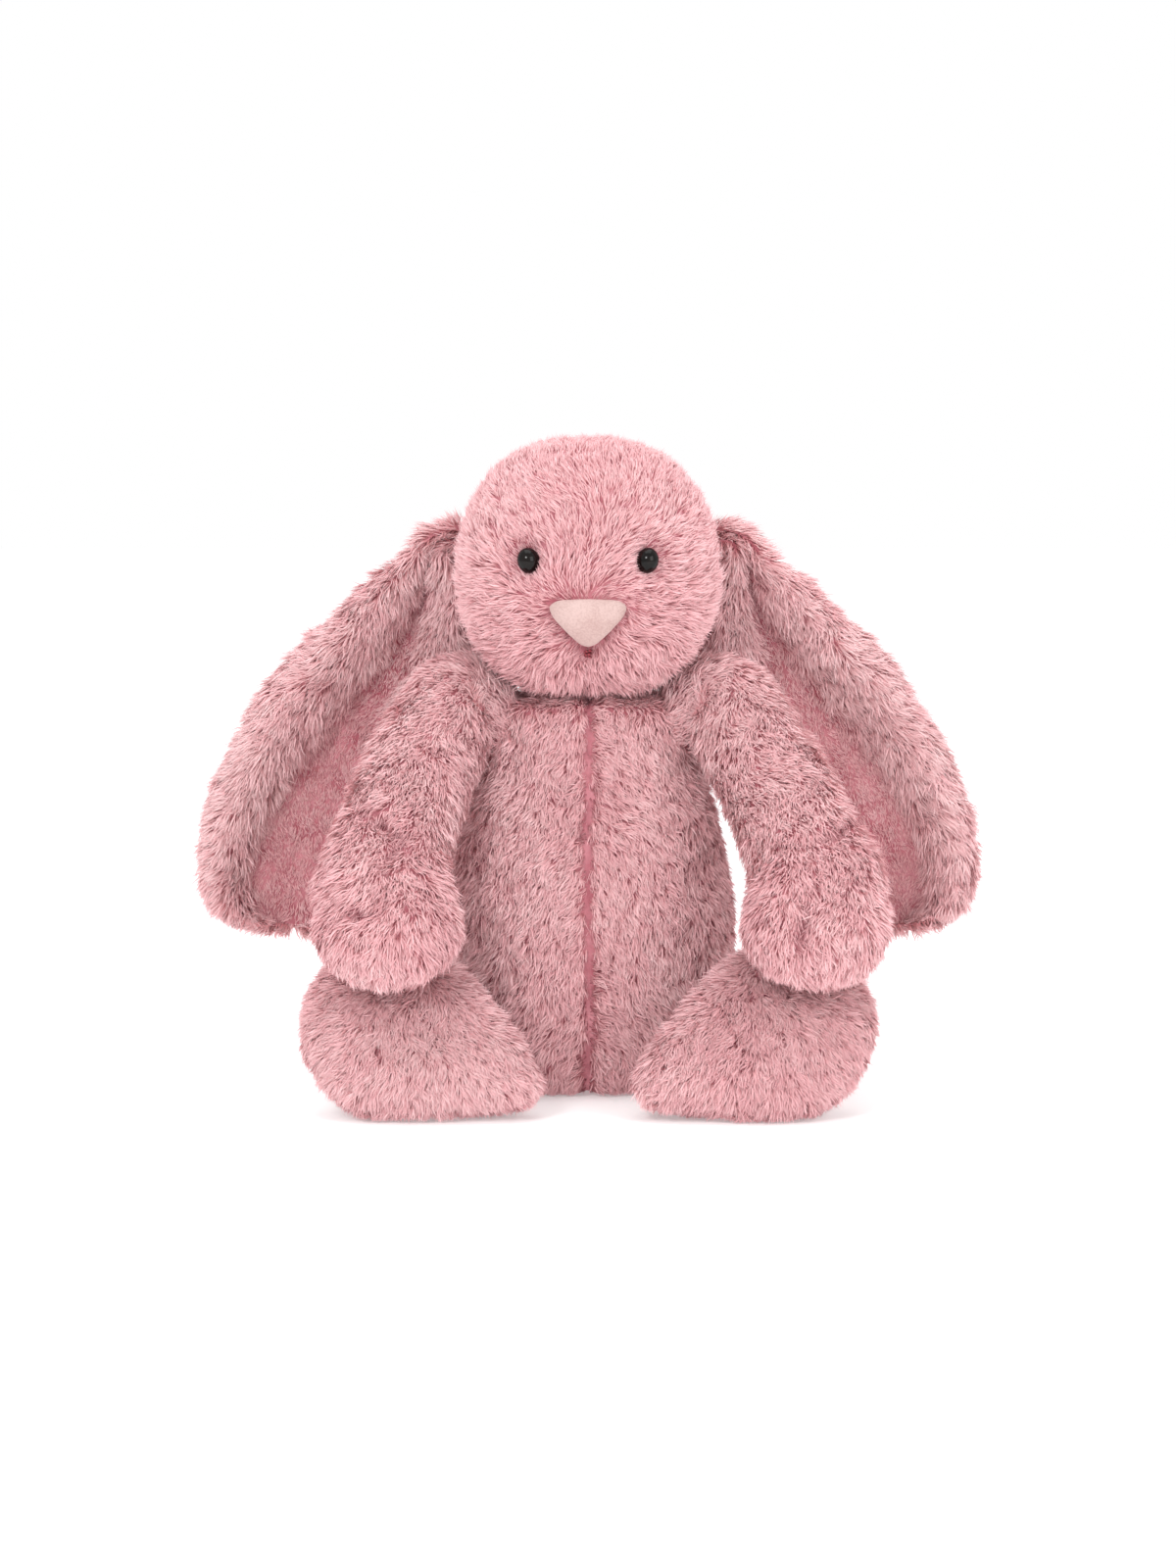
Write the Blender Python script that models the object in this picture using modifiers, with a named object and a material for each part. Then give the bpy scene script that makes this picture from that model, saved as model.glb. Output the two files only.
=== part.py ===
"""Seated plush rabbit with long lop ears: sewn covers over stuffing, on soft hinges.

The rabbit sits on z = 0 facing -Y, and its own left side is at +X.  Every cover is an open
patch of a shared form surface thickened inwards, and every filling is the same form drawn
in by the cloth's thickness, so covers and fillings follow any change of size together.
"""
import math

import bmesh
import bpy
import numpy as np
from mathutils import Matrix, Vector

MM = 0.001

# Driving dimensions, in millimetres.
GAP = 0.35             # clearance between pieces that touch
SEAM = 1.6             # opening between two cover panels along a seam
HEM_SHARE = 0.025       # half of a panel's width kept as a narrow strip beside its seam
POLE_OPENING = 3.6     # radius left open where a limb's two panels meet at its end
FILL_GAP = 2.2         # clearance between a cover and its filling, facets included
CLOTH = 4.0            # plush with its pile pressed down
NOSE_CLOTH = 1.8
EAR_BACK_CLOTH = 3.5
EAR_LINING_CLOTH = 2.0

HEAD_WIDTH = 100.0
HEAD_HEIGHT = 101.0
HEAD_FRONT = 47.0      # from the neck's plane forward to the face, without the muzzle
HEAD_BACK = 44.0
HEAD_FORWARD = 6.0     # the head's centre lies this far in front of the neck
HEAD_FULLNESS = 2.25   # 2 is an ellipsoid, more is boxier
MUZZLE_DEPTH = 7.0
MUZZLE_SPREAD = 26.0
MUZZLE_DROP = 20.0     # muzzle's middle below the head's centre
GUSSET_WIDTH = 46.0

EYE_SPREAD = 45.2      # between the two eye centres
EYE_RISE = 4.2         # above the head's centre
EYE_RADIUS = 4.9
EYE_BULGE = 3.6
SHANK_RADIUS = 1.6
SHANK_LENGTH = 9.0
WASHER_RADIUS = 5.2
WASHER_THICKNESS = 1.2

NOSE_WIDTH = 26.5
NOSE_HEIGHT = 17.0
NOSE_DROP = 10.2       # nose's top edge below the head's centre
NOSE_TIP_WIDTH = 3.0
STITCH_DROP = 3.0      # mouth stitch below the nose's tip
STITCH_RADIUS = 1.1

NECK_HEIGHT = 146.0    # pivot above the floor
NECK_RADIUS = 8.0
NECK_OPENING = 12.0

TORSO_WIDTH = 110.0
TORSO_FRONT = 40.5
TORSO_BACK = 37.0
TORSO_CLEARANCE = 3.0  # top of the torso below the neck pivot
PELLET_HEIGHT = 22.0   # top of the torso's bean bag

SHOULDER_RADIUS = 13.0
SHOULDER_RISE = 3.0    # above the neck pivot
SHOULDER_FORWARD = 10.0
SHOULDER_CLEARANCE = 4.5
ARM_WIDTH = 41.0
ARM_DEPTH = 35.0
PAW_WIDTH = 53.0
PAW_DEPTH = 37.0

FOOT_LENGTH = 97.0
FOOT_WIDTH = 75.0
FOOT_THICKNESS = 36.0
FOOT_TILT = math.radians(32.0)     # sole leans back from upright
FOOT_ROLL = math.radians(66.0)     # long axis leans outwards from upright
FOOT_SPREAD = 119.0                # between the two feet's centres
FOOT_FORWARD = 64.0
FOOT_SETTLE = 1.5                  # flattened by the floor
FOOT_PELLET_LEVEL = 24.0
HIP_HEIGHT = 25.0
HIP_RADIUS = 14.0
HIP_CLEARANCE = 1.5

EAR_LENGTH = 163.0
EAR_WIDTH = 72.0
EAR_ROLL = 7.5         # radius of the rolled edges
EAR_ROOT_WIDTH = 10.0
EAR_SETBACK = 16.0     # ear hinge behind the neck's plane
EAR_RISE = 9.0         # ear hinge above the head's centre
EAR_CLEARANCE = 1.0

TAIL_RADIUS = 14.0
TAIL_HEIGHT = 29.0
LABEL_WIDTH = 12.0
LABEL_LENGTH = 16.0
LABEL_THICKNESS = 0.8
LABEL_ASIDE = 2.0      # from the back seam
LABEL_HEIGHT_SHARE = 0.16   # place up the torso's profile

PINK = (0.71, 0.38, 0.41)
LINING_PINK = (0.51, 0.22, 0.23)
NOSE_PINK = (0.81, 0.59, 0.56)
EYE_BLACK = (0.008, 0.007, 0.008)
THREAD_RED = (0.21, 0.035, 0.045)
FIBRE_WHITE = (0.80, 0.79, 0.76)
PELLET_WHITE = (0.62, 0.63, 0.64)
WASHER_WHITE = (0.70, 0.71, 0.72)
SATIN_WHITE = (0.84, 0.83, 0.82)

HEAD_CENTRE = np.array([0.0, -HEAD_FORWARD, NECK_HEIGHT + HEAD_HEIGHT / 2])
SIDES = (("left", 1), ("right", -1))


def clear_scene():
    """Empty the scene that the script runs in."""
    for old in list(bpy.data.objects):
        bpy.data.objects.remove(old, do_unlink=True)


def collection(name):
    """Make a collection linked to the scene."""
    group = bpy.data.collections.new(name)
    bpy.context.scene.collection.children.link(group)
    return group


def material(name, colour, roughness=0.9, metallic=0.0):
    """Principled material of one linear colour."""
    made = bpy.data.materials.new(name)
    made.use_nodes = True
    shader = made.node_tree.nodes["Principled BSDF"]
    shader.inputs["Base Color"].default_value = (*colour, 1.0)
    shader.inputs["Roughness"].default_value = roughness
    shader.inputs["Metallic"].default_value = metallic
    return made


def smooth_curve(keys, rows, at):
    """Read a smooth curve through rows, given at rising keys, at any positions."""
    keys = np.asarray(keys, dtype=float)
    rows = np.asarray(rows, dtype=float)
    at = np.clip(np.asarray(at, dtype=float), keys[0], keys[-1])
    step = np.diff(keys)
    slope = np.diff(rows, axis=0) / step[:, None]
    tangent = np.vstack([slope[:1], (slope[:-1] + slope[1:]) / 2, slope[-1:]])
    span = np.clip(np.searchsorted(keys, at, side="right") - 1, 0, len(step) - 1)
    t = ((at - keys[span]) / step[span])[..., None]
    width = step[span][..., None]
    return (rows[span] * (2 * t**3 - 3 * t**2 + 1)
            + rows[span + 1] * (3 * t**2 - 2 * t**3)
            + tangent[span] * (t**3 - 2 * t**2 + t) * width
            + tangent[span + 1] * (t**3 - t**2) * width)


# Form surfaces.  Each takes u from 0 to 1 along the piece and v around it in radians.

def head_shape(direction):
    """Head surface in millimetres, in a direction from the head's centre."""
    size = (np.abs(direction)**HEAD_FULLNESS).sum(axis=-1)**(1 / HEAD_FULLNESS)
    unit = direction / size[..., None]
    depth = np.where(unit[..., 1] < 0, HEAD_FRONT, HEAD_BACK)
    x = unit[..., 0] * HEAD_WIDTH / 2
    z = unit[..., 2] * HEAD_HEIGHT / 2
    bulge = np.exp(-(x / MUZZLE_SPREAD)**2 - ((z + MUZZLE_DROP) / MUZZLE_DROP)**2)
    y = unit[..., 1] * depth - MUZZLE_DEPTH * bulge * np.clip(-unit[..., 1], 0, 1)
    return np.stack([x, y, z], axis=-1) + HEAD_CENTRE


def head_form(u, v):
    """Head with its poles at the two ears; v runs from the face up over the crown."""
    across = np.sin(np.pi * u)
    return head_shape(np.stack([np.cos(np.pi * u), -across * np.cos(v), across * np.sin(v)], -1))


def head_side(y, z):
    """Half the head's width at a place on its side."""
    back = (abs(y - HEAD_CENTRE[1]) / HEAD_BACK)**HEAD_FULLNESS
    rise = (abs(z - HEAD_CENTRE[2]) * 2 / HEAD_HEIGHT)**HEAD_FULLNESS
    return HEAD_WIDTH / 2 * max(1 - back - rise, 0)**(1 / HEAD_FULLNESS)


def face_point(x, z):
    """Point of the face in front of a place given across and above the head's centre."""
    rest = 1 - np.abs(x * 2 / HEAD_WIDTH)**HEAD_FULLNESS - np.abs(z * 2 / HEAD_HEIGHT)**HEAD_FULLNESS
    unit = np.stack([x * 2 / HEAD_WIDTH, -np.clip(rest, 0, 1)**(1 / HEAD_FULLNESS),
                     z * 2 / HEAD_HEIGHT], axis=-1)
    return head_shape(unit)


TORSO_TOP = NECK_HEIGHT - TORSO_CLEARANCE
TORSO_KEYS = (0.0, 0.05, 0.13, 0.2, 0.33, 0.48, 0.64, 0.78, 0.89, 0.96, 1.0)
# Height as a share of the torso, then half-width and depth as shares of their largest.
TORSO_PROFILE = ((0.0, 0.54, 0.50), (0.004, 0.64, 0.60), (0.05, 0.83, 0.78), (0.13, 0.93, 0.91),
                 (0.27, 0.99, 1.0), (0.44, 1.0, 1.0), (0.64, 0.91, 0.92), (0.80, 0.78, 0.79),
                 (0.92, 0.61, 0.64), (0.975, 0.44, 0.48))
SEAT_SHARE = TORSO_PROFILE[0][1:]


def torso_rows():
    """Torso profile in millimetres: height, half-width, front depth and back depth."""
    rows = [(z * TORSO_TOP, w * TORSO_WIDTH / 2, d * TORSO_FRONT, d * TORSO_BACK)
            for z, w, d in TORSO_PROFILE]
    return rows + [(TORSO_TOP, NECK_OPENING, NECK_OPENING, NECK_OPENING)]


def torso_form(u, v):
    """Torso from the seat's edge up to the neck's edge."""
    row = smooth_curve(TORSO_KEYS, torso_rows(), u)
    depth = np.where(np.sin(v) < 0, row[..., 2], row[..., 3])
    z = np.clip(row[..., 0], 0, None)
    return np.stack([row[..., 1] * np.cos(v), depth * np.sin(v), z], axis=-1)


def torso_quarter(middle):
    """Quarter of the torso about an angle, with seams of one width along its sides."""
    def quarter(u, v):
        radius = np.linalg.norm(torso_form(u, middle + 0 * v)[..., :2], axis=-1)
        return torso_form(u, middle + v * (math.pi / 4 - SEAM / 2 / radius))
    return quarter


def torso_core(u, v):
    """Torso closed at both ends, which the fillings are drawn in from."""
    ends = 0.1
    point = torso_form(np.clip((u - ends) / (1 - 2 * ends), 0, 1), v)
    shrink = np.clip(np.minimum(u, 1 - u) / ends, 0, 1)[..., None]
    return point * np.concatenate([shrink, shrink, np.ones_like(shrink)], axis=-1)


def torso_half_width(height):
    """Half the torso's width at a height."""
    rows = np.array(torso_rows())
    return float(np.interp(height, rows[:, 0], rows[:, 1]))


def sweep(route, up, u, v):
    """Tube along a smooth route of x, y, z, depth radius and side radius, with round ends."""
    route = np.asarray(route, dtype=float)
    keys = np.concatenate([[0.0], np.cumsum(np.linalg.norm(np.diff(route[:, :3], axis=0), axis=1))])
    fine = smooth_curve(keys / keys[-1], route, np.linspace(0, 1, 200))
    tangent = np.gradient(fine[:, :3], axis=0)
    tangent /= np.linalg.norm(tangent, axis=1)[:, None]
    side = np.cross(tangent, up)
    side /= np.linalg.norm(side, axis=1)[:, None]
    front = np.cross(side, tangent)
    cap = 0.16
    t = np.clip((u - cap) / (1 - 2 * cap), 0, 1)
    rows = np.concatenate([fine, tangent, front, side], axis=1)
    at = np.stack([np.interp(t, np.linspace(0, 1, 200), column) for column in rows.T], axis=-1)
    start = np.clip(u / cap, 0, 1) * np.pi / 2
    finish = np.clip((1 - u) / cap, 0, 1) * np.pi / 2
    ring = np.sin(start) * np.sin(finish)
    reach = (np.cos(finish) - np.cos(start)) * (at[..., 3] + at[..., 4]) / 2
    return (at[..., :3] + reach[..., None] * at[..., 5:8]
            + (at[..., 3] * ring * np.cos(v))[..., None] * at[..., 8:11]
            + (at[..., 4] * ring * np.sin(v))[..., None] * at[..., 11:14])


def shoulder(side):
    """Shoulder joint of one side, clear of the torso and of the head."""
    height = NECK_HEIGHT + SHOULDER_RISE
    rise, reach = 0.75 * SHOULDER_RADIUS, math.sqrt(1 - 0.75**2) * SHOULDER_RADIUS
    beside = max(torso_half_width(height - rise), head_side(-SHOULDER_FORWARD, height + rise)) + reach
    return np.array([side * (beside + SHOULDER_CLEARANCE), -SHOULDER_FORWARD, height])


# Places along each arm from its shoulder: out, forward, down, and how far the tube has
# widened from shoulder to paw.  The left arm reaches out further than the right one.
ARM_REACH = {1: ((0, 0, 0), (9, 10, 13), (20, 27, 32), (27, 42, 48), (33, 56, 63), (32, 67, 78)),
             -1: ((0, 0, 0), (7, 10, 13), (15, 27, 32), (21, 42, 48), (24.5, 56, 63), (22, 67, 78))}
ARM_GROWTH = ((0, 0), (0.55, 0), (1, 0), (1, 0.1), (1, 0.6), (1, 1))


def arm_route(side):
    """Route of an arm with its two radii."""
    start = shoulder(side)
    rows = []
    for (out, forward, down), (arm, paw) in zip(ARM_REACH[side], ARM_GROWTH):
        radii = [SHOULDER_RADIUS + arm * (limb / 2 - SHOULDER_RADIUS) + paw * (hand - limb) / 2
                 for limb, hand in ((ARM_DEPTH, PAW_DEPTH), (ARM_WIDTH, PAW_WIDTH))]
        rows.append((*(start + np.array([side * out, -forward, -down])), *radii))
    return rows


def arm_form(side):
    """Form surface of one arm; v = 0 faces forwards."""
    route = arm_route(side)
    return lambda u, v: sweep(route, (0, -1, 0.3), u, v)


FOOT_KEYS = (0.0, 0.15, 0.35, 0.6, 0.8, 1.0)
# Half-width and half-thickness as shares of the largest, from the heel to the toes.
FOOT_PROFILE = ((0.50, 0.95), (0.58, 0.96), (0.75, 0.98), (0.95, 1.0), (1.0, 1.0), (0.94, 0.95))


def foot_axes(side):
    """Sole normal, heel-to-toe direction and cross direction of a foot."""
    normal = np.array([0.0, -math.cos(FOOT_TILT), math.sin(FOOT_TILT)])
    upright = np.array([0.0, math.sin(FOOT_TILT), math.cos(FOOT_TILT)])
    along = math.sin(FOOT_ROLL) * np.array([side, 0.0, 0.0]) + math.cos(FOOT_ROLL) * upright
    return normal, along, np.cross(normal, along)


def foot_point(side, u, v, grow=0.0):
    """Foot about its own centre, from the sole's middle at u = 0 to the instep's at u = 1."""
    normal, along, cross = foot_axes(side)
    ring = np.sin(np.pi * u)**0.8
    size = smooth_curve(FOOT_KEYS, FOOT_PROFILE, (1 + ring * np.cos(v)) / 2)
    length = (FOOT_LENGTH / 2 + grow) * ring * np.cos(v)
    wide = (size[..., 0] * FOOT_WIDTH / 2 + grow) * ring * np.sin(v)
    thick = (size[..., 1] * FOOT_THICKNESS / 2 + grow) * np.cos(np.pi * u)
    return length[..., None] * along + wide[..., None] * cross + thick[..., None] * normal


def foot_centre(side):
    """Centre of a foot whose lowest point is pressed a little into the floor."""
    u, v = np.meshgrid(np.linspace(0, 1, 41), np.linspace(0, 2 * np.pi, 49), indexing="ij")
    lowest = foot_point(side, u, v)[..., 2].min()
    return np.array([side * FOOT_SPREAD / 2, -FOOT_FORWARD, -FOOT_SETTLE - lowest])


def foot_form(side, grow=0.0):
    """Form surface of one foot, flat where it stands."""
    centre = foot_centre(side)

    def form(u, v):
        point = foot_point(side, u, v, grow) + centre
        point[..., 2] = np.clip(point[..., 2], -grow, None)
        return point
    return form


def hip(side):
    """Hip joint of one side, in front of the torso's flank."""
    rows = np.array(torso_rows())
    width, depth = (float(np.interp(HIP_HEIGHT, rows[:, 0], rows[:, i])) for i in (1, 2))
    share = 0.72
    on_torso = np.array([side * share * width, -math.sqrt(1 - share**2) * depth, HIP_HEIGHT])
    away = np.array([side * share / width, -math.sqrt(1 - share**2) / depth, 0.0])
    return on_torso + away / np.linalg.norm(away) * (HIP_RADIUS + HIP_CLEARANCE)


# Ear places as shares of its length: out, back, down, then half-width, roll radius and
# half of the open valley between the two rolled edges, as shares of their largest.
EAR_KEYS = (0.0, 0.12, 0.3, 0.5, 0.75, 1.0)
EAR_PATH = ((0.0, 0.0, 0.0), (0.03, 0.06, 0.115), (0.10, 0.09, 0.285), (0.205, 0.115, 0.465),
            (0.322, 0.125, 0.69), (0.35, 0.115, 0.92))
EAR_SECTION = ((0.0, 0.40, 0.06), (0.34, 0.75, 0.08), (0.80, 1.0, 0.14), (1.0, 1.0, 0.32),
               (1.0, 1.0, 0.66), (0.94, 0.7, 1.0))
EAR_VALLEY = 19.0
EAR_TIP_SHARE = 0.17   # part of the length that rounds off to the tip


def ear_hinge(side):
    """Hinge of an ear beside the head."""
    height = HEAD_CENTRE[2] + EAR_RISE
    out = (head_side(EAR_SETBACK - EAR_ROLL, height) + EAR_ROOT_WIDTH / 2 + EAR_BACK_CLOTH
           + EAR_CLEARANCE)
    return np.array([side * out, EAR_SETBACK, height])


def ear_form(side):
    """Form surface of one ear: u from root to tip, v from the inner to the outer edge.

    A cross-section runs flat behind, turns forwards round each side in a half circle and
    runs back towards the middle, which leaves a valley open at the front.
    """
    root = ear_hinge(side)

    def centre(u):
        return root + smooth_curve(EAR_KEYS, EAR_PATH, u) * EAR_LENGTH * np.array([side, 1, -1])

    def form(u, v):
        section = smooth_curve(EAR_KEYS, EAR_SECTION, u)
        late = np.clip(u - 1 + EAR_TIP_SHARE, 0, 1) / EAR_TIP_SHARE
        tip = np.clip(1 - late**3, 0.003, 1)**(1 / 3)
        half = (EAR_ROOT_WIDTH + section[..., 0] * (EAR_WIDTH - EAR_ROOT_WIDTH)) / 2 * tip
        roll = np.minimum(section[..., 1] * EAR_ROLL, 0.7 * half)
        valley = np.minimum(section[..., 2] * EAR_VALLEY * tip, half - roll)
        flat = half - roll
        length = np.abs(v) * (flat + np.pi * roll + np.clip(flat - valley, 0, None))
        turn = np.clip((length - flat) / roll, 0, np.pi)
        back = np.clip(length - flat - np.pi * roll, 0, None)
        across = np.sign(v) * (np.minimum(length, flat) + roll * np.sin(turn) - back)
        forward = roll * (1 - np.cos(turn))
        down = centre(np.clip(u + 0.01, 0, 1)) - centre(np.clip(u - 0.01, 0, 1))
        outward = np.cross(down, (0.0, side, 0.0))
        outward /= np.linalg.norm(outward, axis=-1)[..., None]
        return centre(u) + across[..., None] * outward - forward[..., None] * np.array([0, 1, 0])
    return form


TAIL_CENTRE = np.array([0.0, TORSO_BACK + 0.92 * TAIL_RADIUS, TAIL_HEIGHT])


def tail_form(u, v):
    """Round tail with its far pole at u = 0 and its open end against the torso."""
    ring = np.sin(np.pi * u)
    direction = np.stack([ring * np.cos(v), np.cos(np.pi * u), ring * np.sin(v)], axis=-1)
    return direction * TAIL_RADIUS + TAIL_CENTRE


# Mesh builders.

def add_object(name, mesh, look, group, origin=(0.0, 0.0, 0.0)):
    """Link an object whose mesh is in world millimetres, with its origin where it turns."""
    origin = Vector([float(c) * MM for c in origin])
    mesh.transform(Matrix.Translation(-origin) @ Matrix.Scale(MM, 4))
    mesh.materials.append(look)
    mesh.shade_smooth()
    made = bpy.data.objects.new(name, mesh)
    made.location = origin
    group.objects.link(made)
    return made


def hemmed(count, hem):
    """Rows from -1 to 1 whose first and last steps are narrow; hem is their share of half."""
    return lambda t: np.interp(t, (0, 1 / count, 1 - 1 / count, 1), (-1, hem - 1, 1 - hem, 1))


HALF_STEPS = 8


def half_form(form, turn):
    """Half of a closed form about the angle turn, with seams of one width along its sides.

    The rows stand closer together beside the seams, where the section turns sharply.
    """
    shares = [share * (1 - HEM_SHARE) for share in (0, 0.5, 0.86, 1)] + [1]
    shares = [-share for share in shares[:0:-1]] + shares

    def half(u, v):
        v = np.interp(v, np.linspace(0, 1, len(shares)), shares)
        depth = np.linalg.norm(form(u, turn + 0 * v) - form(u, turn + math.pi + 0 * v), axis=-1)
        reach = math.pi / 2 - np.arcsin(np.clip(SEAM / depth, 0, 1))
        return form(u, turn + v * reach)
    return half


def open_ends(form):
    """Span of a closed form that stops short of both its poles."""
    u = np.linspace(0, 0.5, 200)
    spans = []
    for share in (u, 1 - u):
        width = np.linalg.norm(form(share, 0 * u) - form(share, 0 * u + math.pi), axis=-1)
        spans.append(share[int(np.argmax(width > 2 * POLE_OPENING))])
    return tuple(spans)


def form_sheet(name, form, segments, u_span, v_span, toward):
    """Open patch of a form surface as a mesh that faces away from the point toward."""
    edit = bmesh.new()
    bmesh.ops.create_grid(edit, x_segments=segments[0], y_segments=segments[1], size=0.5)
    place = np.array([vert.co[:2] for vert in edit.verts]) + 0.5
    u, v = (span(t) if callable(span) else np.interp(t, (0, 1), span)
            for span, t in zip((u_span, v_span), place.T))
    points = form(u, v)
    for vert, point in zip(edit.verts, points):
        vert.co = point
    bmesh.ops.remove_doubles(edit, verts=edit.verts, dist=0.01)
    edit.normal_update()
    middle = Vector(toward)
    facing_out = sum(face.normal.dot(face.calc_center_median() - middle) for face in edit.faces)
    if facing_out < 0:
        bmesh.ops.reverse_faces(edit, faces=edit.faces)
    mesh = bpy.data.meshes.new(name)
    edit.to_mesh(mesh)
    edit.free()
    return mesh


def form_solid(name, form, segments, inset=0.0, keep=None):
    """Closed solid of a form surface, drawn in by inset; keep cuts it at a level in z."""
    edit = bmesh.new()
    bmesh.ops.create_uvsphere(edit, u_segments=segments[0], v_segments=segments[1], radius=1.0)
    place = np.array([vert.co[:] for vert in edit.verts])
    u = np.arccos(np.clip(place[:, 2], -1, 1)) / np.pi
    v = np.arctan2(place[:, 1], place[:, 0])
    for vert, point in zip(edit.verts, form(u, v)):
        vert.co = point
    if edit.calc_volume(signed=True) < 0:
        bmesh.ops.reverse_faces(edit, faces=edit.faces)
    edit.normal_update()
    if inset:
        moves = [(vert, vert.co - vert.normal * inset) for vert in edit.verts]
        for vert, place in moves:
            vert.co = place
    if keep is not None:
        level, above = keep
        cut = bmesh.ops.bisect_plane(edit, geom=edit.verts[:] + edit.edges[:] + edit.faces[:],
                                     plane_co=(0, 0, level), plane_no=(0, 0, -1 if above else 1),
                                     clear_outer=True)
        rim = [part for part in cut["geom_cut"] if isinstance(part, bmesh.types.BMEdge)]
        bmesh.ops.edgeloop_fill(edit, edges=rim)
        bmesh.ops.recalc_face_normals(edit, faces=edit.faces)
    mesh = bpy.data.meshes.new(name)
    edit.to_mesh(mesh)
    edit.free()
    return mesh


def thicken(piece, thickness, outward=False):
    """Give a sheet its cloth's thickness on one side."""
    shell = piece.modifiers.new("Cloth", "SOLIDIFY")
    shell.thickness = thickness * MM
    shell.offset = 1.0 if outward else -1.0
    shell.use_even_offset = True


def cut(piece, cutter):
    """Cut a piece with a cutter."""
    hole = piece.modifiers.new("Cut", "BOOLEAN")
    hole.operation = "DIFFERENCE"
    hole.solver = "EXACT"
    hole.object = cutter


def hide_cutter(cutter):
    """Mark an object as a cutter."""
    cutter.hide_render = True
    cutter.display_type = "WIRE"
    return cutter


def facing(point, normal):
    """Matrix in metres that puts the origin at a point, with local +Z along a normal."""
    turn = Vector(normal).to_track_quat("Z", "Y").to_matrix().to_4x4()
    return Matrix.Translation(Vector(point) * MM) @ turn


def cylinder_cutter(name, radius, low, high, place, group):
    """Cylinder cutter between two levels of a local frame."""
    edit = bmesh.new()
    bmesh.ops.create_cone(edit, cap_ends=True, segments=16, radius1=radius * MM,
                          radius2=radius * MM, depth=(high - low) * MM,
                          matrix=Matrix.Translation((0, 0, (high + low) / 2 * MM)))
    mesh = bpy.data.meshes.new(name)
    edit.to_mesh(mesh)
    edit.free()
    made = bpy.data.objects.new(name, mesh)
    made.matrix_world = place
    group.objects.link(made)
    return hide_cutter(made)


def turned(name, profile, look, place, group, closed=False, steps=12):
    """Turned solid from an outline of radius and height in millimetres, down its outer side."""
    mesh = bpy.data.meshes.new(name)
    mesh.from_pydata([(r * MM, 0.0, z * MM) for r, z in profile],
                     [(i, (i + 1) % len(profile)) for i in range(len(profile) - 1 + closed)], [])
    mesh.materials.append(look)
    made = bpy.data.objects.new(name, mesh)
    made.matrix_world = place
    group.objects.link(made)
    screw = made.modifiers.new("Turn", "SCREW")
    screw.axis = "Z"
    screw.steps = steps
    screw.render_steps = steps
    screw.use_merge_vertices = True
    screw.merge_threshold = 0.00005
    return made


def joint_empty(name, place, group, parent=None):
    """Empty on a joint's axis."""
    made = bpy.data.objects.new(name, None)
    made.location = [float(c) * MM for c in place]
    group.objects.link(made)
    if parent:
        attach(made, parent)
    return made


def attach(piece, parent):
    """Parent a piece to an empty and keep it where it stands."""
    bpy.context.view_layer.update()
    piece.parent = parent
    piece.matrix_parent_inverse = parent.matrix_world.inverted()


# Sub-assemblies.

GUSSET_START = math.radians(-22)   # under the nose, measured from straight ahead
GUSSET_END = math.radians(215)     # low on the nape
GUSSET_STEPS = 12
CHIN_STEPS = 7
PANEL_STEPS = 7
GUSSET_END_WIDTH = 4.0


def gusset_half(v):
    """Half the gusset's width where the seam passes an angle round the head."""
    share = np.clip((v - GUSSET_START) / (GUSSET_END - GUSSET_START), 0, 1)
    swell = np.sin(np.pi * share)**0.6
    return (GUSSET_END_WIDTH + (GUSSET_WIDTH - GUSSET_END_WIDTH) * swell) / 2


def head_seam(v):
    """Share u at which a side panel ends: at the gusset, or at the chin's centre seam."""
    closing = v > GUSSET_START + 2 * np.pi - 1e-6
    angle = np.where(closing, GUSSET_START, v)
    half = np.where(angle < GUSSET_END + 1e-6, gusset_half(angle), 0.0)
    return 0.5 - (half + SEAM / 2) / (HEAD_WIDTH / 2) / np.pi


def head_side_form(side):
    """Form of a side panel: u = 0 at its ear and u = 1 on its seam."""
    def form(u, v):
        share = u * head_seam(v)
        return head_form(share if side > 0 else 1 - share, v)
    return form


def gusset_form(u, v):
    """Form of the strip from the nose over the crown to the nape; u crosses it from -1 to 1."""
    half = (gusset_half(v) - SEAM / 2) / (HEAD_WIDTH / 2) / np.pi
    return head_form(0.5 + u * half, v)


def panel_rows(t):
    """Steps of a side panel from its ear to its seam, the last one narrow."""
    return np.interp(t, (0, 1 - 1 / PANEL_STEPS, 1), (0, 1 - HEM_SHARE / 2, 1))


def around_head(t):
    """Angles of a side panel's rows, which meet every row of the gusset."""
    split = GUSSET_STEPS / (GUSSET_STEPS + CHIN_STEPS)
    return np.interp(t, (0, split, 1), (GUSSET_START, GUSSET_END, GUSSET_START + 2 * np.pi))


def eye_place(side):
    """Frame of an eye on the face, looking out along the face's normal."""
    x, z = side * EYE_SPREAD / 2, EYE_RISE
    step = 2.0
    middle = face_point(np.array([x]), np.array([z]))[0]
    right = face_point(np.array([x + step]), np.array([z]))[0] - middle
    above = face_point(np.array([x]), np.array([z + step]))[0] - middle
    normal = np.cross(right, above)
    return facing(middle, normal / np.linalg.norm(normal))


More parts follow.
